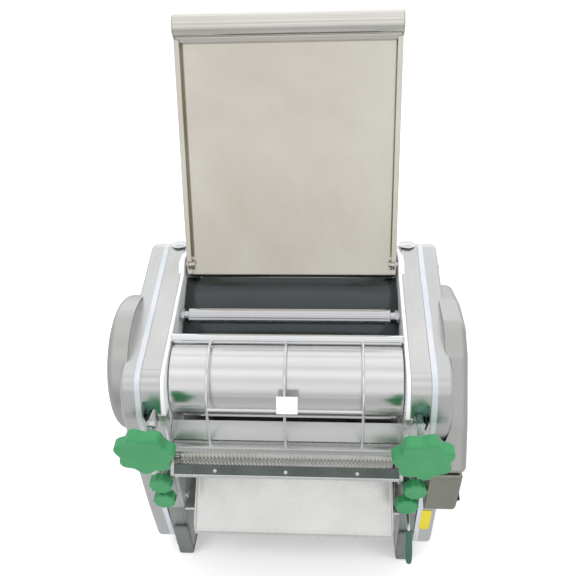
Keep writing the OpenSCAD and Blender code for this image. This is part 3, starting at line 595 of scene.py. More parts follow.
S0 = [(197, 365.8), (9.5, 300.6), (0, 260), (32, 96), (48.6, 27), (262, 27), (280, 120), (273, 290), (250, 326)]
S_R = [14, 25, 30, 60, 8, 20, 30, 20, 20]
COV_P = [(197, 365.5), (9.7, 300.35), (0.4, 260), (32.5, 96), (49.1, 27.4), (262, 27.4), (279.6, 120), (272.6, 290), (249.8, 325.7)]
COV_E = 6.0
LINER0, LINER1, FRAME0, FRAME1, COV0, COV1 = 123.0, 129.6, 129.8, 147.2, 147.6, 170.0
DOME0, DOME1 = 170.2, 187.8
AX_F, AX_B = (60.6, 268.0), (60.6 + 86.6 * math.cos(math.radians(2)), 268 + 86.6 * math.sin(math.radians(2)))
AX_T, AX_L = (163.0, 354.0), (62.0, 128.0)
TILT, GAP_X = 13.0, 137.0
FRONT_Y = 32 / 164
FRONT_T = math.degrees(math.atan(FRONT_Y))
LEAN = math.radians(11.8)
TRAY_L, TRAY_H = 247.0, 120.6


def S(d=0.0):
    return fillet(inset(S0, d), [q - d for q in S_R])


COV = fillet(COV_P, S_R)


def cover_x(y, h, far):
    """How far out in X the side cover reaches at a point of the side view."""
    d = dist_in(COV, y, h)
    if d <= 0:
        return far(y, h) if callable(far) else far
    if d >= COV_E:
        return COV1 + 0.12
    return COV1 + 0.12 - COV_E + math.sqrt(max(0.0, COV_E ** 2 - (COV_E - d) ** 2))


def leg_x(s):
    return 126.2 if s < 0 else 128.4


def along_pts(s0, s1, n0, n1):
    """Corners of a rectangle along the setting screw: s forward, n up."""
    a = math.radians(TILT)
    f, u = (-math.cos(a), -math.sin(a)), (-math.sin(a), math.cos(a))
    return [(AX_F[0] + s * f[0] + n * u[0], AX_F[1] + s * f[1] + n * u[1]) for s, n in ((s0, n0), (s1, n0), (s1, n1), (s0, n1))]


# ------------------------------------------------------------ side covers
for side, s in (("left", -1), ("right", 1)):
    q = Shape()
    q.pan(COV_P, S_R, COV0, COV1, COV_E, 1.5, s, n=10)
    piece("cover_" + side, q, "cover_steel", nodes=[side + "_main_cover"], sharp=40)

q = Shape()
gc, gr = (93.0, 264.5), 76.2
gear_loop = [(gc[0] + gr * math.cos(a), gc[1] + gr * math.sin(a)) for a in (2 * math.pi * i / 144 for i in range(144))]
rim = []
for extra, xe, ee in ((0, DOME1, 9.0), (1.5, DOME1 - 1.5, 7.5)):
    prev = q.ring([V(-cover_x(y, h, 164.0), y, h) for y, h in inset(gear_loop, extra)])
    rim.append(prev)
    for k in range(10):
        a = math.pi / 2 * k / 9
        d = extra + ee - ee * math.cos(a)
        cur = q.ring([V(-(xe - ee + ee * math.sin(a)), y, h) for y, h in circle(gc, gr - d, 144)])
        q.skin(prev, cur)
        prev = cur
    q.cap([prev])
q.skin(rim[0], rim[1])
piece("gear_cover", q, "bulge_steel", nodes=["left_gear_cover"], sharp=40)



def back_plate(name, loop, x0, s, mat, below=None, above=None):
    """Closes the back of a bulge where it stands outside the side cover's outline."""
    q = Shape()
    a0, a1 = sorted((s * x0, s * (x0 + 1.2)))
    q.prism(inset(ccw(loop), 0.4), a0, a1, 0.0, n=1)
    c = Shape()
    b0, b1 = sorted((s * (x0 - 6), s * (x0 + 6)))
    c.prism(inset(COV, 0.6), b0, b1, 0.0, n=1)
    cuts = [c]
    if below is not None:
        c = Shape()
        c.prism([(-90, below), (290, below), (290, 420), (-90, 420)], b0 - 1, b1 + 1, 0.0, n=1)
        cuts.append(c)
    if above is not None:
        c = Shape()
        c.prism([(-90, -50), (290, -50), (290, above), (-90, above)], b0 - 1, b1 + 1, 0.0, n=1)
        cuts.append(c)
    piece(name, q, mat, cutters=cuts)


back_plate("gear_cover_back", gear_loop, 164.0, -1, "bulge_steel")

BELT_P = [(165, 328), (112, 337), (70, 333), (43, 312), (8, 250), (-12, 198.2), (20, 198.2), (20, 140), (60, 96),
          (150, 50), (195, 40), (240, 50), (251, 90), (205, 285)]
BELT_R = [22, 30, 26, 26, 40, 5, 3, 20, 40, 30, 30, 26, 26, 40]


def lip(y, h):
    return 164.0 - 11.0 * max(0.0, min(1.0, (243 - h) / 6.0))


q = Shape()
q.pan(BELT_P, BELT_R, 164, DOME1, 9, 1.5, 1, start=lambda y, h: cover_x(y, h, lip), n=10)
piece("belt_cover", q, "bulge_steel", nodes=["right_belt_cover"], sharp=40)
BELT = fillet(BELT_P, BELT_R)
back_plate("belt_cover_back", BELT, 164.0, 1, "bulge_steel", above=241.0)
back_plate("belt_cover_lip_back", BELT, 153.0, 1, "bulge_steel", below=242.0)

BOX_P = [(-12, 197.8), (4.6, 130.5), (18.6, 130.5), (18.6, 197.8)]
q = Shape()
q.pan(BOX_P, [2.5, 9, 5, 3], 150, 184.4, 5, 1.5, 1, start=lambda y, h: cover_x(y, h, 150.0), n=8)
hole = Shape()
hole.prism(rnd([(1.3, 148), (15.3, 148), (15.3, 170), (1.3, 170)], 1.2), 178, 192, 0.0)
piece("control_box_shell", q, "box_steel", nodes=["control_box"], sharp=40, cutters=[hole])
back_plate("control_box_back", fillet(BOX_P, [2.5, 9, 5, 3]), 150.0, 1, "box_steel")

# rocker of the power switch: a saddle with rounded rims
q = Shape()
rk = fillet([(-1.4, -8.4), (2.4, -9.4), (6.2, -8.6), (4.6, 0), (4.1, 9), (2.4, 9.6), (-1.4, 8.4)], [0.6, 0.8, 0.6, 30, 0.6, 0.8, 0.6])
q.prism(rk, -6.6, 6.6, 0.5, fr=Frame(V(180.6, 8.3, 159), (1, 0, 0), (0, 0, 1), (0, -1, 0)))
q.lathe(Frame(V(180.6, 8.3, 159), (1, 0, 0), (0, 0, 1), (0, -1, 0)), [(0, -7.6), (1.6, -7.6), (1.8, -7.4), (1.8, -6.5)], 24)
q.lathe(Frame(V(180.6, 8.3, 159), (1, 0, 0), (0, 0, 1), (0, -1, 0)), [(1.8, 6.5), (1.8, 7.4), (1.6, 7.6), (0, 7.6)], 24)
piece("rocker", q, "black_plastic", "switch", ["power_rocker"])

# --------------------------------------------- frames, cheeks, trim bands


def window_cut(s, s0, s1):
    """The setting screw's window: narrower at its lower end, with rounded corners."""
    c = Shape()
    w = fillet([(133.6, -9.0), (143.6, -9.0), (146.0, 6.0), (146.3, 21.6), (130.9, 21.6), (131.2, 6.0)], [3.4, 3.4, 6, 2.2, 2.2, 6])
    if s < 0:
        w = [(-x, n) for x, n in w]
    c.prism(ccw(w), s0, s1, 0.0, n=1, fr=ahead(0, AX_F, TILT))
    return c


FRAME_P = [(196.5, 363.8), (11.6, 299.4), (2.2, 260), (34, 96), (50, 8), (92, 8), (104, 60), (222, 60), (236, 8),
           (272, 8), (277, 120), (270.6, 290.5), (248.8, 324.4)]
FRAME_R = [12, 23, 28, 50, 6, 4, 14, 14, 4, 4, 20, 18, 18]
AX_J = (AX_B[0] + 2.5 * 35 * math.cos(math.radians(223)), AX_B[1] + 2.5 * 35 * math.sin(math.radians(223)))
for side, s in (("left", -1), ("right", 1)):
    x0, x1 = sorted((s * FRAME0, s * FRAME1))
    q = Shape()
    holes = [circle(AX_B, 23.5, 64)] + ([circle(AX_J, 16, 48), circle((205, 82), 10, 32)] if s > 0 else [])
    q.prism(fillet(FRAME_P, FRAME_R), x0, x1, 1.6, holes)
    l0, l1 = sorted((s * leg_x(s), s * (FRAME0 + 1)))
    q2 = Shape()
    cut = []
    for box in (along_pts(-25, 32, -22, 22), along_pts(31, 75, -6.7, 6.7), along_pts(38, 50.2, -10, 21.6)):
        c = Shape()
        c.prism(box, x0 - 2, x1 + 2, 0.0, n=1)
        cut.append(c)
    cut.append(window_cut(s, 50.1, 75))
    if s > 0:
        c = Shape()
        c.prism([(6, 110), (44, 115), (74, 118), (74, 140), (50, 140), (6, 138)], 129.4, 136.6, 0.0, n=1)
        cut.append(c)
    piece("frame_" + side, q, "cast_grey", nodes=[side + "_side_frame"], sharp=30, cutters=cut)
    q2.prism(rnd([(22.5, 158), (34, 96), (50, 8), (92, 8), (98, 60), (84, 158)], 5), l0, l1, 2.0 if s < 0 else 1.0)
    piece("leg_pad_" + side, q2, "cast_light", sharp=30, cutters=cut[4:])

LINE = (365.8 - 300.6) / (197 - 9.5)


def top_h(y):
    return 300.6 + (y - 9.5) * LINE


for side, s in (("left", -1), ("right", 1)):
    x0, x1 = sorted((s * LINER0, s * LINER1))
    lp = fillet([(184.4, 361.4), (172.5, 361.9), (157.0, 360.9), (146, top_h(146)), (9.5, 300.6),
                 (0, 260), (9, 214), (60, 200), (200.4, 200), (200.4, 361.4)],
                [12, 12, 8, 8, 25, 30, 12, 10, 10, 1.0])
    q = Shape()
    slot_c = [circle(AX_B, 14, 48), circle(AX_T, 3.05, 24)]
    a = math.radians(TILT)
    g = []
    for i in range(49):
        b = a + math.pi / 2 + math.pi * i / 48
        g.append((AX_F[0] - 5 * math.cos(a) + 14 * math.cos(b + 0), AX_F[1] - 5 * math.sin(a) + 14 * math.sin(b)))
    for i in range(49):
        b = a - math.pi / 2 + math.pi * i / 48
        g.append((AX_F[0] + 14 * math.cos(b), AX_F[1] + 14 * math.sin(b)))
    slot_c.append(g)
    m0, m1 = sorted((s * LINER0, s * 126.85))
    q.prism(lp, m0, m1, 0.6, slot_c)
    m0, m1 = sorted((s * 126.0, s * LINER1))
    q.prism(inset(ccw(lp), 1.8), m0, m1, 0.3, slot_c)
    piece("cheek_" + side, q, "nylon", nodes=[side + "_cheek_liner"], sharp=34)


def clip_band(d):
    """The part of the outline that the trim band covers, from the front's low end over the top."""
    lp = S(d)
    keep = [h > 189 + (y + 20) * 140 / 234 or False for y, h in lp]
    n = len(lp)
    start = next(i for i in range(n) if keep[i] and not keep[i - 1])
    seq = []
    i = start
    while keep[i % n] and len(seq) < n:
        seq.append(lp[i % n])
        i += 1

    def cutp(a, b):
        fa, fb = (p[1] - 189 - (p[0] + 20) * 140 / 234 for p in (a, b))
        t = fa / (fa - fb)
        return (a[0] + t * (b[0] - a[0]), a[1] + t * (b[1] - a[1]))

    return [cutp(lp[start - 1], seq[0])] + seq + [cutp(seq[-1], lp[i % n])]


for side, s in (("left", -1), ("right", 1)):
    outer, inner = clip_band(0.0), clip_band(1.5)
    x0, x1 = sorted((s * 127.0, s * (FRAME1 + 0.2)))
    q = Shape()
    loop = outer + inner[::-1]
    q.prism(loop, x0, x1, 0.5, n=3)
    c = Shape()
    a0, a1 = sorted((s * 120.0, s * FRAME0))
    c.prism([(183, 180), (243, 180), (243, 480), (183, 480)], a0, a1, 0.0, n=1)
    piece("band_" + side, q, "band_steel", nodes=[side + "_trim_band"], sharp=34, cutters=[window_cut(s, 48, 75), c])

# ---------------------------------------------------------- rubber shoes
q = Shape()
for s in (-1, 1):
    l0, l1 = sorted((s * leg_x(s), s * (leg_x(s) + 18)))
    q.prism(fillet([(35.6, 58), (44.6, 3), (47, 0), (91, 0), (91, 7.9), (49.4, 7.9), (40.3, 58)], [2.5, 4, 4, 2, 1, 1.5, 1.2]), l0, l1, 2.2, n=4)
    a0, a1 = sorted((s * 128, s * 149))
    q.prism(rnd([(236.6, 0), (271.6, 0), (271.6, 8), (236.6, 8)], 2.2), a0, a1, 2.2, n=4)
piece("shoes", q, "foot_rubber", nodes=["rubber_feet"], sharp=40)

# ------------------------------------------------------------------ tray


def TF(x, n, l):
    return V(x, AX_T[0] + n * math.cos(LEAN) + l * math.sin(LEAN), AX_T[1] - n * math.sin(LEAN) + l * math.cos(LEAN))


TRAY = Frame(V(0, *AX_T), (1, 0, 0), (0, math.cos(LEAN), -math.sin(LEAN)), (0, math.sin(LEAN), math.cos(LEAN)))
q = Shape()
w = TRAY_H
prof = ccw(fillet([(w, -5.9), (w, 6.1), (-w, 6.1), (-w, -5.9), (-w + 1.5, -5.9), (-w + 1.5, 4.6), (w - 1.5, 4.6), (w - 1.5, -5.9)],
                  [0.5, 3.2, 3.2, 0.5, 0.5, 1.8, 1.8, 0.5]))
rows = []
for l in (-14.0, -13.7, -12.8, -11.6, -10.4, -9.0, 0.0, 60.0, 120.0, 180.0, TRAY_L - 6, TRAY_L):
    f = 1.0
    if l < -9:
        f = 0.3 + 0.7 * math.sqrt(max(0.0, 1 - ((-9 - l) / 5.0) ** 2))
    rows.append(q.ring([TRAY(x, n if n > 2.8 else 2.8 + (n - 2.8) * f, l) for x, n in prof]))
# the panel's lower end reaches a little further down than its sides
q.prism(fillet([(-w + 0.6, 4.62), (w - 0.6, 4.62), (w - 0.6, 6.08), (-w + 0.6, 6.08)], [0.5] * 4), -16.6, -12.0, 0.3, fr=TRAY, n=2)
for a, b in zip(rows, rows[1:]):
    q.skin(a, b)
q.cap([rows[0]])
q.cap([rows[-1]])
for s in (-1, 1):
    for l0, l1 in ((-10.5, -5.0), (5.0, TRAY_L - 0.5)):
        x0, x1 = sorted((s * (w - 5.5), s * w))
        hem = fillet([(x0, -6), (x1, -6), (x1, -4.6), (x0, -4.6)], [0.4, 0.7, 0.3, 0.4] if s > 0 else [0.7, 0.4, 0.4, 0.3])
        q.prism(hem, l0, l1, 0.3, fr=TRAY, n=2)
    # hub round the hinge pin
    q.lathe(Frame(TRAY(0, 0, 0), TRAY.y, TRAY.z, (1, 0, 0)), [(3.08, s * (w - 5.4)), (3.9, s * (w - 5.4)), (4.1, s * (w - 5.2)), (4.1, s * (w + 0.4)), (3.9, s * (w + 0.6)), (3.08, s * (w + 0.6)), (3.08, s * (w - 5.4))], 32)
piece("tray_sheet", q, "tray_steel", "tray", sharp=30)


def roll_outline():
    """The rolled end: three convex bands towards the front, one round back."""
    pts = []
    c, r = (3.6, TRAY_L + 13), 13.0

    def bow(a, b, out, n):
        ax, ay, bx, by = *a, *b
        mx, my = (ax + bx) / 2, (ay + by) / 2
        nx, ny = by - ay, ax - bx
        k = math.hypot(nx, ny)
        nx, ny = nx / k, ny / k
        res = []
        for i in range(n + 1):
            t = i / n
            h = 4 * t * (1 - t) * out
            res.append((ax + (bx - ax) * t - nx * h, ay + (by - ay) * t - ny * h))
        return res

    def on(deg, rr=r):
        a = math.radians(deg)
        return (c[0] + rr * math.cos(a), c[1] + rr * math.sin(a))

    # round, with shallow creases where the sheet was folded on
    for i in range(0, 151):
        deg = -75 + i * (311 - 5) / 150
        dip = sum(d * math.exp(-((deg - c0) / wd) ** 2) for c0, wd, d in ((122, 3.2, 0.28), (148, 2.6, 0.22), (176, 4.0, 0.35)))
        pts.append(on(deg, 13.0 - dip - (0.5 if deg > 176 else 0.5 * max(0.0, min(1.0, (deg - 110) / 66)))))
    pts.append((0.2, TRAY_L + 0.2))
    pts.append((5.6, TRAY_L + 0.1))
    return ccw(pts)


q = Shape()
ro = roll_outline()
q.prism(ro, -TRAY_H, TRAY_H, 0.5, fr=Frame(V(0, *AX_T), TRAY.y, TRAY.z, (1, 0, 0)))
# lip below the roll
q.prism(fillet([(-4.2, TRAY_L + 2.4), (-2.6, TRAY_L - 3.4), (4.7, TRAY_L - 4.6), (4.7, TRAY_L + 1)], [0.8, 0.9, 0.6, 0.6]), -TRAY_H + 1.6, TRAY_H - 1.6, 0.3,
        fr=Frame(V(0, *AX_T), TRAY.y, TRAY.z, (1, 0, 0)))
roll = piece("tray_roll", q, "tray_roll", "tray", ["feed_tray"], 24)
q = Shape()
for s in (-1, 1):
    z0, z1 = sorted((s * (TRAY_H + 0.05), s * (TRAY_H + 1.2)))
    cap_lp = inset(ro, 0.15)
    q.prism(cap_lp, z0, z1, 0.5, fr=Frame(V(0, *AX_T), TRAY.y, TRAY.z, (1, 0, 0)))
piece("tray_caps", q, "tray_roll", "tray", ["tray_end_caps"], 24)

# ----------------------------------------------------------- star knobs


def star_r(a, r, lobes, dip):
    return r - dip * math.sin(a * lobes / 2) ** 2


def star_knob(q, fr, r, lobes, dip, prof, seg, phase=0.0):
    """prof is [(how far in from the lobed outline, z)], or (fraction of it, z, True) near the middle."""
    prev = None
    for row in prof:
        pts = []
        for i in range(seg):
            a = 2 * math.pi * i / seg
            rr = star_r(a, r, lobes, dip)
            if len(row) == 3:
                f = row[0]
                rr = f * (rr * f + (r - dip / 2) * (1 - f)) if f > 0 else 0
            else:
                rr -= row[0]
            pts.append(fr(rr * math.cos(a + phase), rr * math.sin(a + phase), row[1]))
        if len(row) == 3 and row[0] == 0:
            cur = q.ring([pts[0]])
            for i in range(seg):
                q.face((prev[i], prev[(i + 1) % seg], cur[0]))
        else:
            cur = q.ring(pts)
            if prev is not None:
                q.skin(prev, cur)
        prev = cur


def rim(z0, z1, b0, b1, n=5):
    """Rounded lower and upper rims as (inset, z)."""
    out = [(b0 - b0 * math.sin(math.pi / 2 * k / n), z0 + b0 - b0 * math.cos(math.pi / 2 * k / n)) for k in range(n + 1)]
    out += [(b1 - b1 * math.cos(math.pi / 2 * k / n), z1 - b1 + b1 * math.sin(math.pi / 2 * k / n)) for k in range(n + 1)]
    return out


for side, s in (("left", -1), ("right", 1)):
    fr = ahead(s * GAP_X, AX_F, TILT)
    q = Shape()
    prev = [(4.6, 91.2), (4.6, 85.6), (5.0, 85.2), (9.4, 85.2), (10, 85.8), (10, 92.2)]
    q.lathe(fr, [(0, 91.2)] + prev + [(0, 92.2)], 48)
    ph = math.radians(6.4 if s < 0 else 22.5)
    star_knob(q, fr, 31.0, 7, 5.0, rim(92.0, 106.0, 1.6, 3.2, 6)
              + [(0.86, 106.0, True), (0.8, 105.9, True), (0.74, 105.75, True), (0.3, 105.6, True), (0.12, 105.6, True), (0.0, 105.6, True)], 196, ph)
    # back face
    star_knob(q, fr, 31.0, 7, 5.0, [(1.6, 92.0), (0.6, 92.0, True), (0.3, 92.0, True), (0.0, 92.0, True)], 196, ph)
    piece("star_knob_" + side, q, "green", side + "_setting", [side + "_gap_knob"], 50)

for name, body, x, h in (("left_upper", "knob_lu", -137, 175), ("left_lower", "knob_ll", -137, 147),
                         ("right_upper", "knob_ru", 137, 175), ("right_lower", "knob_rl", 130, 147)):
    fr = ahead(x, ((260 - h) * FRONT_Y, h), FRONT_T)
    q = Shape()
    q.lathe(fr, [(3.1, 17.0), (3.1, 12.8), (3.5, 12.5), (6.1, 12.5), (6.5, 12.9), (6.5, 16.5), (3.1, 17.0)], 40)
    star_knob(q, fr, 12.7, 10, 1.2, rim(15.5, 26.0, 1.0, 2.2, 5)
              + [(0.78, 26.0, True), (0.7, 25.8, True), (0.3, 25.7, True), (0.0, 25.7, True)], 160)
    star_knob(q, fr, 12.7, 10, 1.2, [(1.0, 15.5), (0.6, 15.5, True), (0.0, 15.5, True)], 160)
    piece(name + "_knob", q, "green", body, [name + "_knob"], 50)

# -------------------------------------------------- threaded setting screws


def thread(q, fr, r0, r1, z0, z1, pitch, seg=28):
    """A screw thread between z0 and z1, with turned ends."""
    prev = q.ring([fr(0, 0, z0)])
    first = True
    m = int((z1 - z0) / (pitch / 8))
    for k in range(m + 1):
        z = z0 + (z1 - z0) * k / m
        fade = min(1.0, min(k, m - k) / 6.0)
        pts = []
        for i in range(seg):
            t = (z / pitch - i / seg) % 1.0
            tri = abs(2 * t - 1)
            rr = r1 - (r1 - r0) * max(0.0, min(1.0, 1.25 * tri - 0.125)) * fade - (1 - fade) * 0.3
            a = 2 * math.pi * i / seg
            pts.append(fr(rr * math.cos(a), rr * math.sin(a), z))
        cur = q.ring(pts)
        if first:
            for i in range(seg):
                q.face((prev[0], cur[i], cur[(i + 1) % seg]))
            first = False
        else:
            q.skin(prev, cur)
        prev = cur
    end = q.ring([fr(0, 0, z1)])
    for i in range(seg):
        q.face((prev[i], prev[(i + 1) % seg], end[0]))


for side, s, n0, n1 in (("left", -1, 63.5, 72.0), ("right", 1, 50.6, 62.6)):
    fr = ahead(s * GAP_X, AX_F, TILT)
    q = Shape()
    q.lathe(fr, [(0, 15.2), (3.1, 15.2), (3.5, 15.6), (3.5, 21.6), (0, 21.6)], 32)
    q.lathe(fr, [(0, 21.4), (4.1, 21.4), (4.5, 21.8), (4.5, 30), (0, 30)], 32)
    thread(q, fr, 3.7, 4.5, 29.5, 88, 1.5)
    q.lathe(fr, [(0, 87), (4.4, 87), (4.4, 91.2), (0, 91.2)], 32)
    z = [(n0, 5.2), (n0 + 0.7, 6.1), (n1 - 0.7, 6.1), (n1, 5.2)]
    q.lathe(fr, [(3.6, n0)] + [(r, h) for h, r in z] + [(3.6, n1), (3.6, n0)], 48)
    piece("setting_screw_" + side, q, "bright_steel", side + "_setting", [side + "_gap_screw"], 36)

# ---------------------------------------------------------------- rollers
q = Shape()
q.lathe(along_x(AX_F), [(0, -167.5), (12, -167.5), (12.5, -167), (12.5, -122.2), (14, -121.5), (42.3, -121.5), (43, -120.8),
                        (43, 0), (43, 120.8), (42.3, 121.5), (14, 121.5), (12.5, 122.2), (12.5, 146.5), (12, 147), (0, 147)], 192)
piece("front_barrel", q, "roller_chrome", "front_drive", ["front_roller"], 30)
q = Shape()
q.lathe(along_x(AX_B), [(0, -167.5), (12, -167.5), (12.5, -167), (12.5, -122.2), (14, -121.5), (42.3, -121.5), (43, -120.8),
                        (43, 0), (43, 120.8), (42.3, 121.5), (14, 121.5), (12.5, 122.2), (12.5, 166.5), (12, 167), (0, 167)], 192)
piece("rear_barrel", q, "roller_chrome", "rear_drive", ["rear_roller"], 30)

AX_C1 = (10.0, 205.0)
AX_C2 = (10 + 22 * math.cos(math.radians(-50)), 205 + 22 * math.sin(math.radians(-50)))


def ringed(name, body, node, c, d, gear_from):
    q = Shape()
    prof = [(0, -122.3), (3.7, -122.3), (4, -122), (4, -112.6), (9.6, -112.6)]
    x = -110.0 + d
    while x < 111:
        x1 = min(x + 1.9, 112.5)
        prof += [(9.6, x), (11.75, x), (12, x + 0.25), (12, x1 - 0.25), (11.75, x1), (9.6, x1)]
        x += 4.0
    prof += [(9.6, 112.6), (4, 112.6), (4, 122), (3.7, 122.3), (0, 122.3)]
    q.lathe(along_x(c), prof, 72)
    # the pinion at the left end
    z, ra, rr = 22, 11.9, 9.8
    pts = []
    for k in range(z):
        a0 = 2 * math.pi * k / z + gear_from
        for f, r in ((-0.33, rr), (-0.16, ra), (0.16, ra), (0.33, rr)):
            pts.append((c[0] + r * math.cos(a0 + f * 2 * math.pi / z), c[1] + r * math.sin(a0 + f * 2 * math.pi / z)))
    q.prism(pts, -118.4, -113.4, 0.15, [circle(c, 4, 32)], n=1)
    piece(name, q, "cutter_steel", body, [node], 28)


ringed("upper_rings", "cutter_upper", "upper_cutter_roller", AX_C1, 0, math.radians(-50))
ringed("lower_rings", "cutter_lower", "lower_cutter_roller", AX_C2, 2, math.radians(130 + 180 / 22))

# ------------------------------------------------ guard, throat bar, spindle
q = Shape()
q.lathe(along_x((62, 316.8)), [(0, -122.7), (4.4, -122.7), (5, -122.1), (5, 0), (5, 122.1), (4.4, 122.7), (0, 122.7)], 48)
piece("guard_spindle", q, "guard_chrome", nodes=["guard_bar"], sharp=40)

q = Shape()
for x in (-80, 0, 80):
    pts = [V(x, 62 - 59.4 * math.sin(math.radians(a)), 257.4 + 59.4 * math.cos(math.radians(a))) for a in range(4, 91, 3)]
    pts += [V(x, 2.6, h) for h in (252, 246, 240, 234, 228, 225.6, 225.0)]
    q.tube(pts, 1.5, 16)
q.tube([V(x, 3.5, 268) for x in (-80, -60, -40, -20, 0, 20, 40, 60, 80)], 1.5, 16)
piece("guard_rods", q, "guard_chrome", nodes=["guard_wires"], sharp=40)

q = Shape()
q.lathe(along_x((108, 318)), [(0, -122.7), (4.1, -122.7), (4.5, -122.3), (4.5, -112), (7.2, -112), (8, -111.2), (8, 0), (8, 111.2),
                              (7.2, 112), (4.5, 112), (4.5, 122.3), (4.1, 122.7), (0, 122.7)], 64)
for s in (-1, 1):
    a0, a1 = sorted((s * 117, s * 121.4))
    q.prism([(108 + 6.5 * math.cos(math.radians(60 * k)), 318 + 6.5 * math.sin(math.radians(60 * k))) for k in range(6)], a0, a1, 0.45, n=2)
piece("throat_rod", q, "polished_steel", nodes=["throat_bar"], sharp=34)

# ------------------------------------------------------------------ chute
CH_A, CH_B, CH_X = Vector((95, 150)), Vector((22, 68)), 3.0
CH_L = (CH_B - CH_A).length
CH_D1 = (CH_B - CH_A).normalized()
CH_D2 = Vector((1.5, -5)).normalized()


def chute_at(u):
    """Centre line of the chute's floor, its direction and its upward normal."""
    bend, r = 3.0, CH_L
    if u <= r - bend:
        p, d = CH_A + CH_D1 * u, CH_D1
    else:
        p, d = CH_A + CH_D1 * (r - bend), CH_D1
        left = u - (r - bend)
        steps = 12
        a1 = math.atan2(CH_D1.y, CH_D1.x)
        a2 = math.atan2(CH_D2.y, CH_D2.x)
        da = (a2 - a1 + math.pi) % (2 * math.pi) - math.pi
        for k in range(steps):
            part = left / steps
            mid = min(1.0, (k + 0.5) * part / (bend * 1.7))
            a = a1 + da * mid
            d = Vector((math.cos(a), math.sin(a)))
            p = p + d * part
    return p, d, Vector((d.y, -d.x))


q = Shape()
prof = ccw(fillet([(-117.3, 9), (-117.3, -1.3), (117.3, -1.3), (117.3, 9), (116.0, 9), (116.0, 0), (-116.0, 0), (-116.0, 9)],
                  [0.5, 2.8, 2.8, 0.5, 0.5, 1.5, 1.5, 0.5]))
rows = []
us = [0, 0.6, 4, 20, 40, 60, 80, 92, 97, 101, 104, 106.5, 108.5, 109.8, 111, 112, 113, 114, 114.6, 114.9]
for u in us:
    p, d, n = chute_at(min(u, CH_L + 5.1))
    f = 1.0
    if u > 96:
        t = min(1.0, (u - 96) / 13.0)
        f = math.sqrt(max(0.0, 1 - t * t))
    row = []
    for x, w in prof:
        wn = w * f if w > 0 else w
        # the lip's edge is rolled
        c = p + n * wn
        row.append(V(x + CH_X, c.x, c.y))
    rows.append(q.ring(row))
for a, b in zip(rows, rows[1:]):
    q.skin(a, b)
q.cap([rows[0]])
q.cap([rows[-1]])
piece("chute", q, "chute_steel", nodes=["discharge_chute"], sharp=32)

# ------------------------------------------------------------- comb plate
q = Shape()
A, B, C = Vector((-5.6, 201.54)), Vector((-11.9, 191.7)), Vector((-11.2, 188.6))
d1 = (B - A).normalized()
n1 = Vector((d1.y, -d1.x))
t = 1.5
X0, X1 = -118.5, 118.5
low = (B - A).length - 1.0
outline = [(X0, 0.0), (X1, 0.0), (X1, low), (X0, low)]


def comb_fr(x, u, z):
    c = A + d1 * u - n1 * z
    return V(x, c.x, c.y)


q.prism(outline, 0.0, t, 0.3, n=2, fr=lambda x, u, z: comb_fr(x, u, z))
# rolled lip along its lower edge
lip_loop = ccw(fillet([(B.x + 0.4, B.y + 1.4), (B.x - 0.35, B.y + 0.2), (C.x - 0.2, C.y), (C.x + 1.25, C.y - 0.1), (B.x + 1.9, B.y + 0.6)], [0.3, 0.9, 0.55, 0.55, 0.5]))
q.prism(lip_loop, X0, X1, 0.25, m=1)
piece("comb_plate", q, ["comb_dark", "bright_steel"], nodes=["cutter_comb_plate"], sharp=34)

# ------------------------------------------------------- screws and bolts
q = Shape()
HEAD = [(0, 0.9), (1.5, 0.9), (1.5, 1.75), (1.9, 1.9), (2.9, 1.6), (3.6, 1.0), (3.95, 0.35), (4, 0), (2, 0), (2, -4), (0, -4)]
for s in (-1, 1):
    for c in ((176, 344), (240, 300), (262, 200), (254, 66), (60, 60)):
        fr = Frame(V(s * (COV1 + 0.05), *c), (0, 1, 0), (0, 0, 1), (s, 0, 0))
        q.lathe(fr, HEAD, 40)
    # cap screw in the leg's inner face, and the pin that the chute lies on
    lx = leg_x(s)
    fr = Frame(V(s * lx, 48, 102.6), (0, 1, 0), (0, 0, 1), (-s, 0, 0))
    q.lathe(fr, [(0, 0.9), (2.2, 0.9), (2.4, 2.7), (2.7, 2.95), (4.1, 2.95), (4.55, 2.5), (4.6, 0.0), (0, 0.0)], 40)
    fr = Frame(V(s * lx, 37, 91), (0, 1, 0), (0, 0, 1), (-s, 0, 0))
    ln = lx - (120.4 if s > 0 else 114.4)
    q.lathe(fr, [(0, ln), (1.3, ln), (2.1, ln - 0.4), (2.4, ln - 1.1), (2.4, 0), (0, 0)], 32)
    # dome screws on the frame tops
    fr = Frame(V(s * 136, 194.5, 0), (1, 0, 0), (0, 1, 0), (0, 0, 1))
    dome = [(0, 367.0)] + [(18.5 * math.sin(math.radians(b)), 348.5 + 18.5 * math.cos(math.radians(b))) for b in range(3, 31, 3)]
    dome += [(9.7, 364.4), (9.5, 364.2), (3, 364.2), (3, 345), (0, 345)]
    q.lathe(fr, dome, 64)
for x in (-75, 0, 75):
    fr = ahead(x, (-8.9, 196.4), -32.6)
    q.lathe(fr, [(0, 1.1), (0.8, 1.1), (0.9, 1.6), (1.6, 1.5), (2.2, 1.0), (2.4, 0.3), (2.4, 0.06), (0, 0.06)], 32)
piece("screws", q, "bright_steel", nodes=["panel_screws"], sharp=38)

q = Shape()
for s in (-1, 1):
    fr = Frame(V(0, *AX_T), (0, 1, 0), (0, 0, 1), (s, 0, 0))
    q.lathe(fr, [(0, 112.2), (2.0, 112.3), (2.9, 112.7), (3.1, 113.3), (3, 113.5), (3, 129.4), (2.8, 129.6), (0, 129.6)], 32)
piece("hinge_pins", q, "bright_steel", nodes=["tray_pivot_pins"], sharp=38)

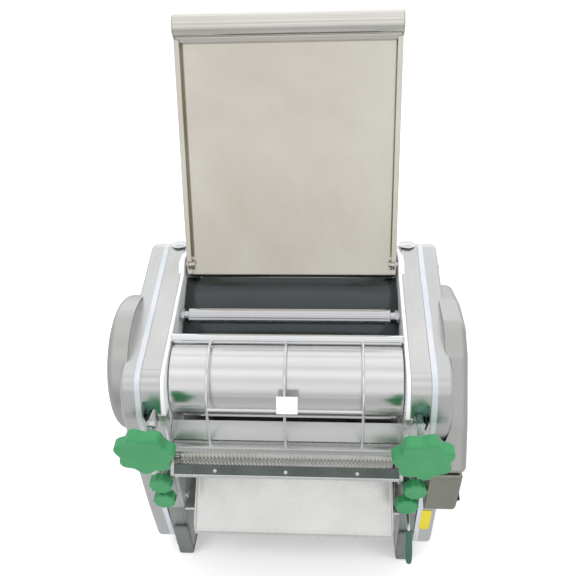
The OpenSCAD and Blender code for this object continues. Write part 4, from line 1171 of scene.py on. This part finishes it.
# ------------------------------------------------------------ clutch lever
BEND_C, BEND_T = Vector((-8, 117.8)), math.radians(61.6)
q = Shape()
ax = Vector(AX_L)
d = (BEND_C - ax).normalized()
e = Vector((-math.cos(BEND_T), -math.sin(BEND_T)))
pts = [ax + d * k for k in (0, 20, 40, 58)]
for k in range(9):
    t = k / 8
    p0, p1, p2 = BEND_C - d * 8, BEND_C, BEND_C + e * 8
    pts.append(p0 * (1 - t) ** 2 + p1 * 2 * t * (1 - t) + p2 * t * t)
pts += [BEND_C + e * k for k in (16, 24, 33)]
q.tube([V(133, p.x, p.y) for p in pts], 2.0, 20)
q.lathe(along_x(AX_L), [(0, 126), (2.6, 126), (3, 126.4), (3, 130.2), (5.1, 130.2), (5.5, 130.6), (5.5, 135.6), (5.1, 136), (3, 136), (3, 141.6), (2.6, 142), (0, 142)], 40)
piece("lever", q, "bright_steel", "clutch", ["clutch_lever"], 40)
q = Shape()
fr = ahead(133, BEND_C, math.degrees(BEND_T))
q.lathe(fr, [(2.02, 3.6), (2.3, 2.9), (2.8, 2.8), (3.05, 3.3), (3.3, 6), (3.6, 10), (3.85, 16), (3.9, 22), (3.85, 28), (3.65, 33), (3.2, 37), (2.4, 39), (1.2, 39.8), (0, 39.9)], 36)
piece("grip", q, "dark_green", "clutch", ["lever_grip"], 50)

# ---------------------------------------- two blank plates that the photo shows
q = Shape()


def arc_pt(a, out):
    a = math.radians(a)
    return (62 - (59.4 + out) * math.sin(a), 257.4 + (59.4 + out) * math.cos(a))


pl = [arc_pt(a, 1.55) for a in (64.5, 70, 76, 82)] + [arc_pt(a, 2.15) for a in (82, 76, 70, 64.5)]
q.prism(ccw(pl), -8.0, 13.6, 0.22, n=2)
piece("blank_plate", q, "white_card", sharp=34)


def cover_front(h):
    ys = []
    n = len(COV)
    for i in range(n):
        (ay, ah), (by, bh) = COV[i], COV[(i + 1) % n]
        if (ah - h) * (bh - h) < 0:
            ys.append(ay + (by - ay) * (h - ah) / (bh - ah))
    return min(ys)


q = Shape()
hs = [103 - 41 * k / 12 for k in range(13)]
tag = [(cover_front(h) - 0.05, h) for h in hs] + [(cover_front(h) - 0.4, h) for h in reversed(hs)]
q.prism(ccw(tag), 152.6, 164.0, 0.12, n=1)
piece("blank_tag", q, "yellow_card", sharp=34)

# ----------------------------------- CAD parts that stay: softened edges


def soft_group():
    g = bpy.data.node_groups.new("smooth_by_angle", "GeometryNodeTree")
    g.interface.new_socket("Geometry", in_out="INPUT", socket_type="NodeSocketGeometry")
    g.interface.new_socket("Geometry", in_out="OUTPUT", socket_type="NodeSocketGeometry")
    i, o = g.nodes.new("NodeGroupInput"), g.nodes.new("NodeGroupOutput")
    a = g.nodes.new("GeometryNodeSetShadeSmooth")
    a.domain = "FACE"
    b = g.nodes.new("GeometryNodeSetShadeSmooth")
    b.domain = "EDGE"
    b.inputs["Shade Smooth"].default_value = False
    ang = g.nodes.new("GeometryNodeInputMeshEdgeAngle")
    cmp_ = g.nodes.new("FunctionNodeCompare")
    cmp_.data_type, cmp_.operation = "FLOAT", "GREATER_THAN"
    cmp_.inputs["B"].default_value = math.radians(33)
    g.links.new(ang.outputs[0], cmp_.inputs["A"])
    g.links.new(cmp_.outputs[0], b.inputs["Selection"])
    g.links.new(i.outputs[0], a.inputs[0])
    g.links.new(a.outputs[0], b.inputs[0])
    g.links.new(b.outputs[0], o.inputs[0])
    return g


SOFT = soft_group()
STAY = {
    "rear_cover": 0.3, "base_pan": 0.3, "tie_rods": 0.4, "feed_plate": 0.25, "front_scraper": 0.35, "rear_scraper": 0.3,
    "guard_clips": 0.35, "motor_body": 0.5, "motor_bracket": 0.6, "run_capacitor": 0.8, "cord_gland": 0.4,
    "roller_bearings": 0.5, "gap_nuts": 0.6, "drive_belt": 0.4, "cutter_end_plates": 0.4, "cutter_top_bar": 0.9,
    "clamp_studs": 0.4, "rear_roller_gear": 0.25, "main_gear": 0.2, "front_roller_gear": 0.25,
    "front_bearing_blocks": 0.7, "jackshaft": 0.25, "large_pulley": 0.4, "motor_pulley": 0.3,
}
for _n, _w in STAY.items():
    _o = NODES[_n]
    md = _o.modifiers.new("weld", "WELD")
    md.merge_threshold = 0.00001
    md = _o.modifiers.new("bevel", "BEVEL")
    md.width, md.segments, md.limit_method, md.angle_limit = _w * 0.001, 2, "ANGLE", math.radians(40)
    md.use_clamp_overlap = True
    md = _o.modifiers.new("smooth", "NODES")
    md.node_group = SOFT

# ------------------------------------------------------------ stage, light


def make_stage():
    m, t, b = node_material("floor", 0.0, 0.7)
    c = mix(t, noise(t, tex_coord(t), 3, 2), (0.93, 0.93, 0.93), (0.95, 0.95, 0.95))
    t.links.new(c, b.inputs["Base Color"])
    b.inputs["Emission Color"].default_value = (1, 1, 1, 1)
    b.inputs["Emission Strength"].default_value = 0.3
    me = bpy.data.meshes.new("floor")
    s = 14
    me.from_pydata([(-s, -s, 0), (s, -s, 0), (s, s, 0), (-s, s, 0)], [], [(0, 1, 2, 3)])
    me.materials.append(m)
    floor = bpy.data.objects.new("floor", me)
    bpy.context.scene.collection.objects.link(floor)
    floor.visible_glossy = False

    # a plain white sweep far behind, which lights nothing
    m = bpy.data.materials.new("sweep")
    m.use_nodes = True
    t = m.node_tree
    t.nodes.clear()
    e = t.nodes.new("ShaderNodeEmission")
    e.inputs["Color"].default_value = (1, 1, 1, 1)
    e.inputs["Strength"].default_value = 1.0
    o = t.nodes.new("ShaderNodeOutputMaterial")
    t.links.new(e.outputs[0], o.inputs["Surface"])
    me = bpy.data.meshes.new("sweep")
    bm = bmesh.new()
    bmesh.ops.create_uvsphere(bm, u_segments=48, v_segments=24, radius=19)
    bm.to_mesh(me)
    bm.free()
    me.materials.append(m)
    sweep = bpy.data.objects.new("sweep", me)
    bpy.context.scene.collection.objects.link(sweep)
    sweep.visible_diffuse = sweep.visible_glossy = sweep.visible_transmission = sweep.visible_shadow = False

    w = bpy.data.worlds.new("studio")
    w.use_nodes = True
    t = w.node_tree
    bg = t.nodes["Background"]
    c = t.nodes.new("ShaderNodeTexCoord")
    sep = t.nodes.new("ShaderNodeSeparateXYZ")
    t.links.new(c.outputs["Generated"], sep.inputs[0])
    # soft boxes and gaps between them, by the angle up from the front horizon and over to the back
    ang = math_node(t, "ARCTAN2", sep.outputs["Z"], math_node(t, "MULTIPLY", sep.outputs["Y"], -1.0))
    f = remap(t, ang, 0.0, 1.0, -math.pi, math.pi)
    stops = [(-180, 0.7), (-100, 0.62), (-60, 0.62), (-35, 0.47), (-15, 0.53), (-4, 0.75), (3, 0.85), (16, 0.85), (24, 0.72),
             (38, 0.86), (44, 1.05), (55, 0.95), (63, 0.7), (72, 0.9), (84, 0.95), (92, 1.1), (97, 0.75), (103, 0.85),
             (108, 1.1), (118, 0.8), (128, 1.15), (150, 1.25), (168, 1.0), (180, 0.8)]
    # a ramp's brightness stops at 1, so it is scaled
    rr = t.nodes.new("ShaderNodeValToRGB")
    e = rr.color_ramp.elements
    while len(e) < len(stops):
        e.new(0.5)
    for k, (deg, val) in enumerate(stops):
        e[k].position = (deg + 180) / 360
        e[k].color = (val / 1.25, val / 1.25, val / 1.25, 1)
    t.links.new(f, rr.inputs["Fac"])
    side_on = remap(t, math_node(t, "ABSOLUTE", sep.outputs["X"]), 0.0, 1.0, 0.55, 0.95)
    v = math_node(t, "MULTIPLY", rr.outputs["Color"], 1.25)
    v = math_node(t, "ADD", math_node(t, "MULTIPLY", v, math_node(t, "SUBTRACT", 1.0, side_on)), math_node(t, "MULTIPLY", side_on, 0.62))
    comb = t.nodes.new("ShaderNodeCombineXYZ")
    for i in range(3):
        t.links.new(v, comb.inputs[i])
    t.links.new(comb.outputs[0], bg.inputs["Color"])
    bg.inputs["Strength"].default_value = 1.0
    bpy.context.scene.world = w
    bpy.context.scene.view_settings.view_transform = "Standard"

    def area(name, loc, at, size, size_y, power, color=(1, 1, 1)):
        d = bpy.data.lights.new(name, "AREA")
        d.shape, d.size, d.size_y, d.energy, d.color = "RECTANGLE", size, size_y, power, color
        o = bpy.data.objects.new(name, d)
        o.location = loc
        o.rotation_euler = (Vector(at) - Vector(loc)).to_track_quat("-Z", "Y").to_euler()
        bpy.context.scene.collection.objects.link(o)
        # metal shows only the soft surroundings
        o.visible_glossy = False

    area("key", (-0.9, -1.0, 2.0), (0, 0, 0.3), 0.9, 0.9, 12)
    area("fill", (1.5, -0.9, 1.2), (0, 0, 0.3), 0.8, 1.2, 6)
    area("top", (0.2, 0.5, 2.2), (0, 0, 0.3), 1.6, 0.5, 10)


make_stage()
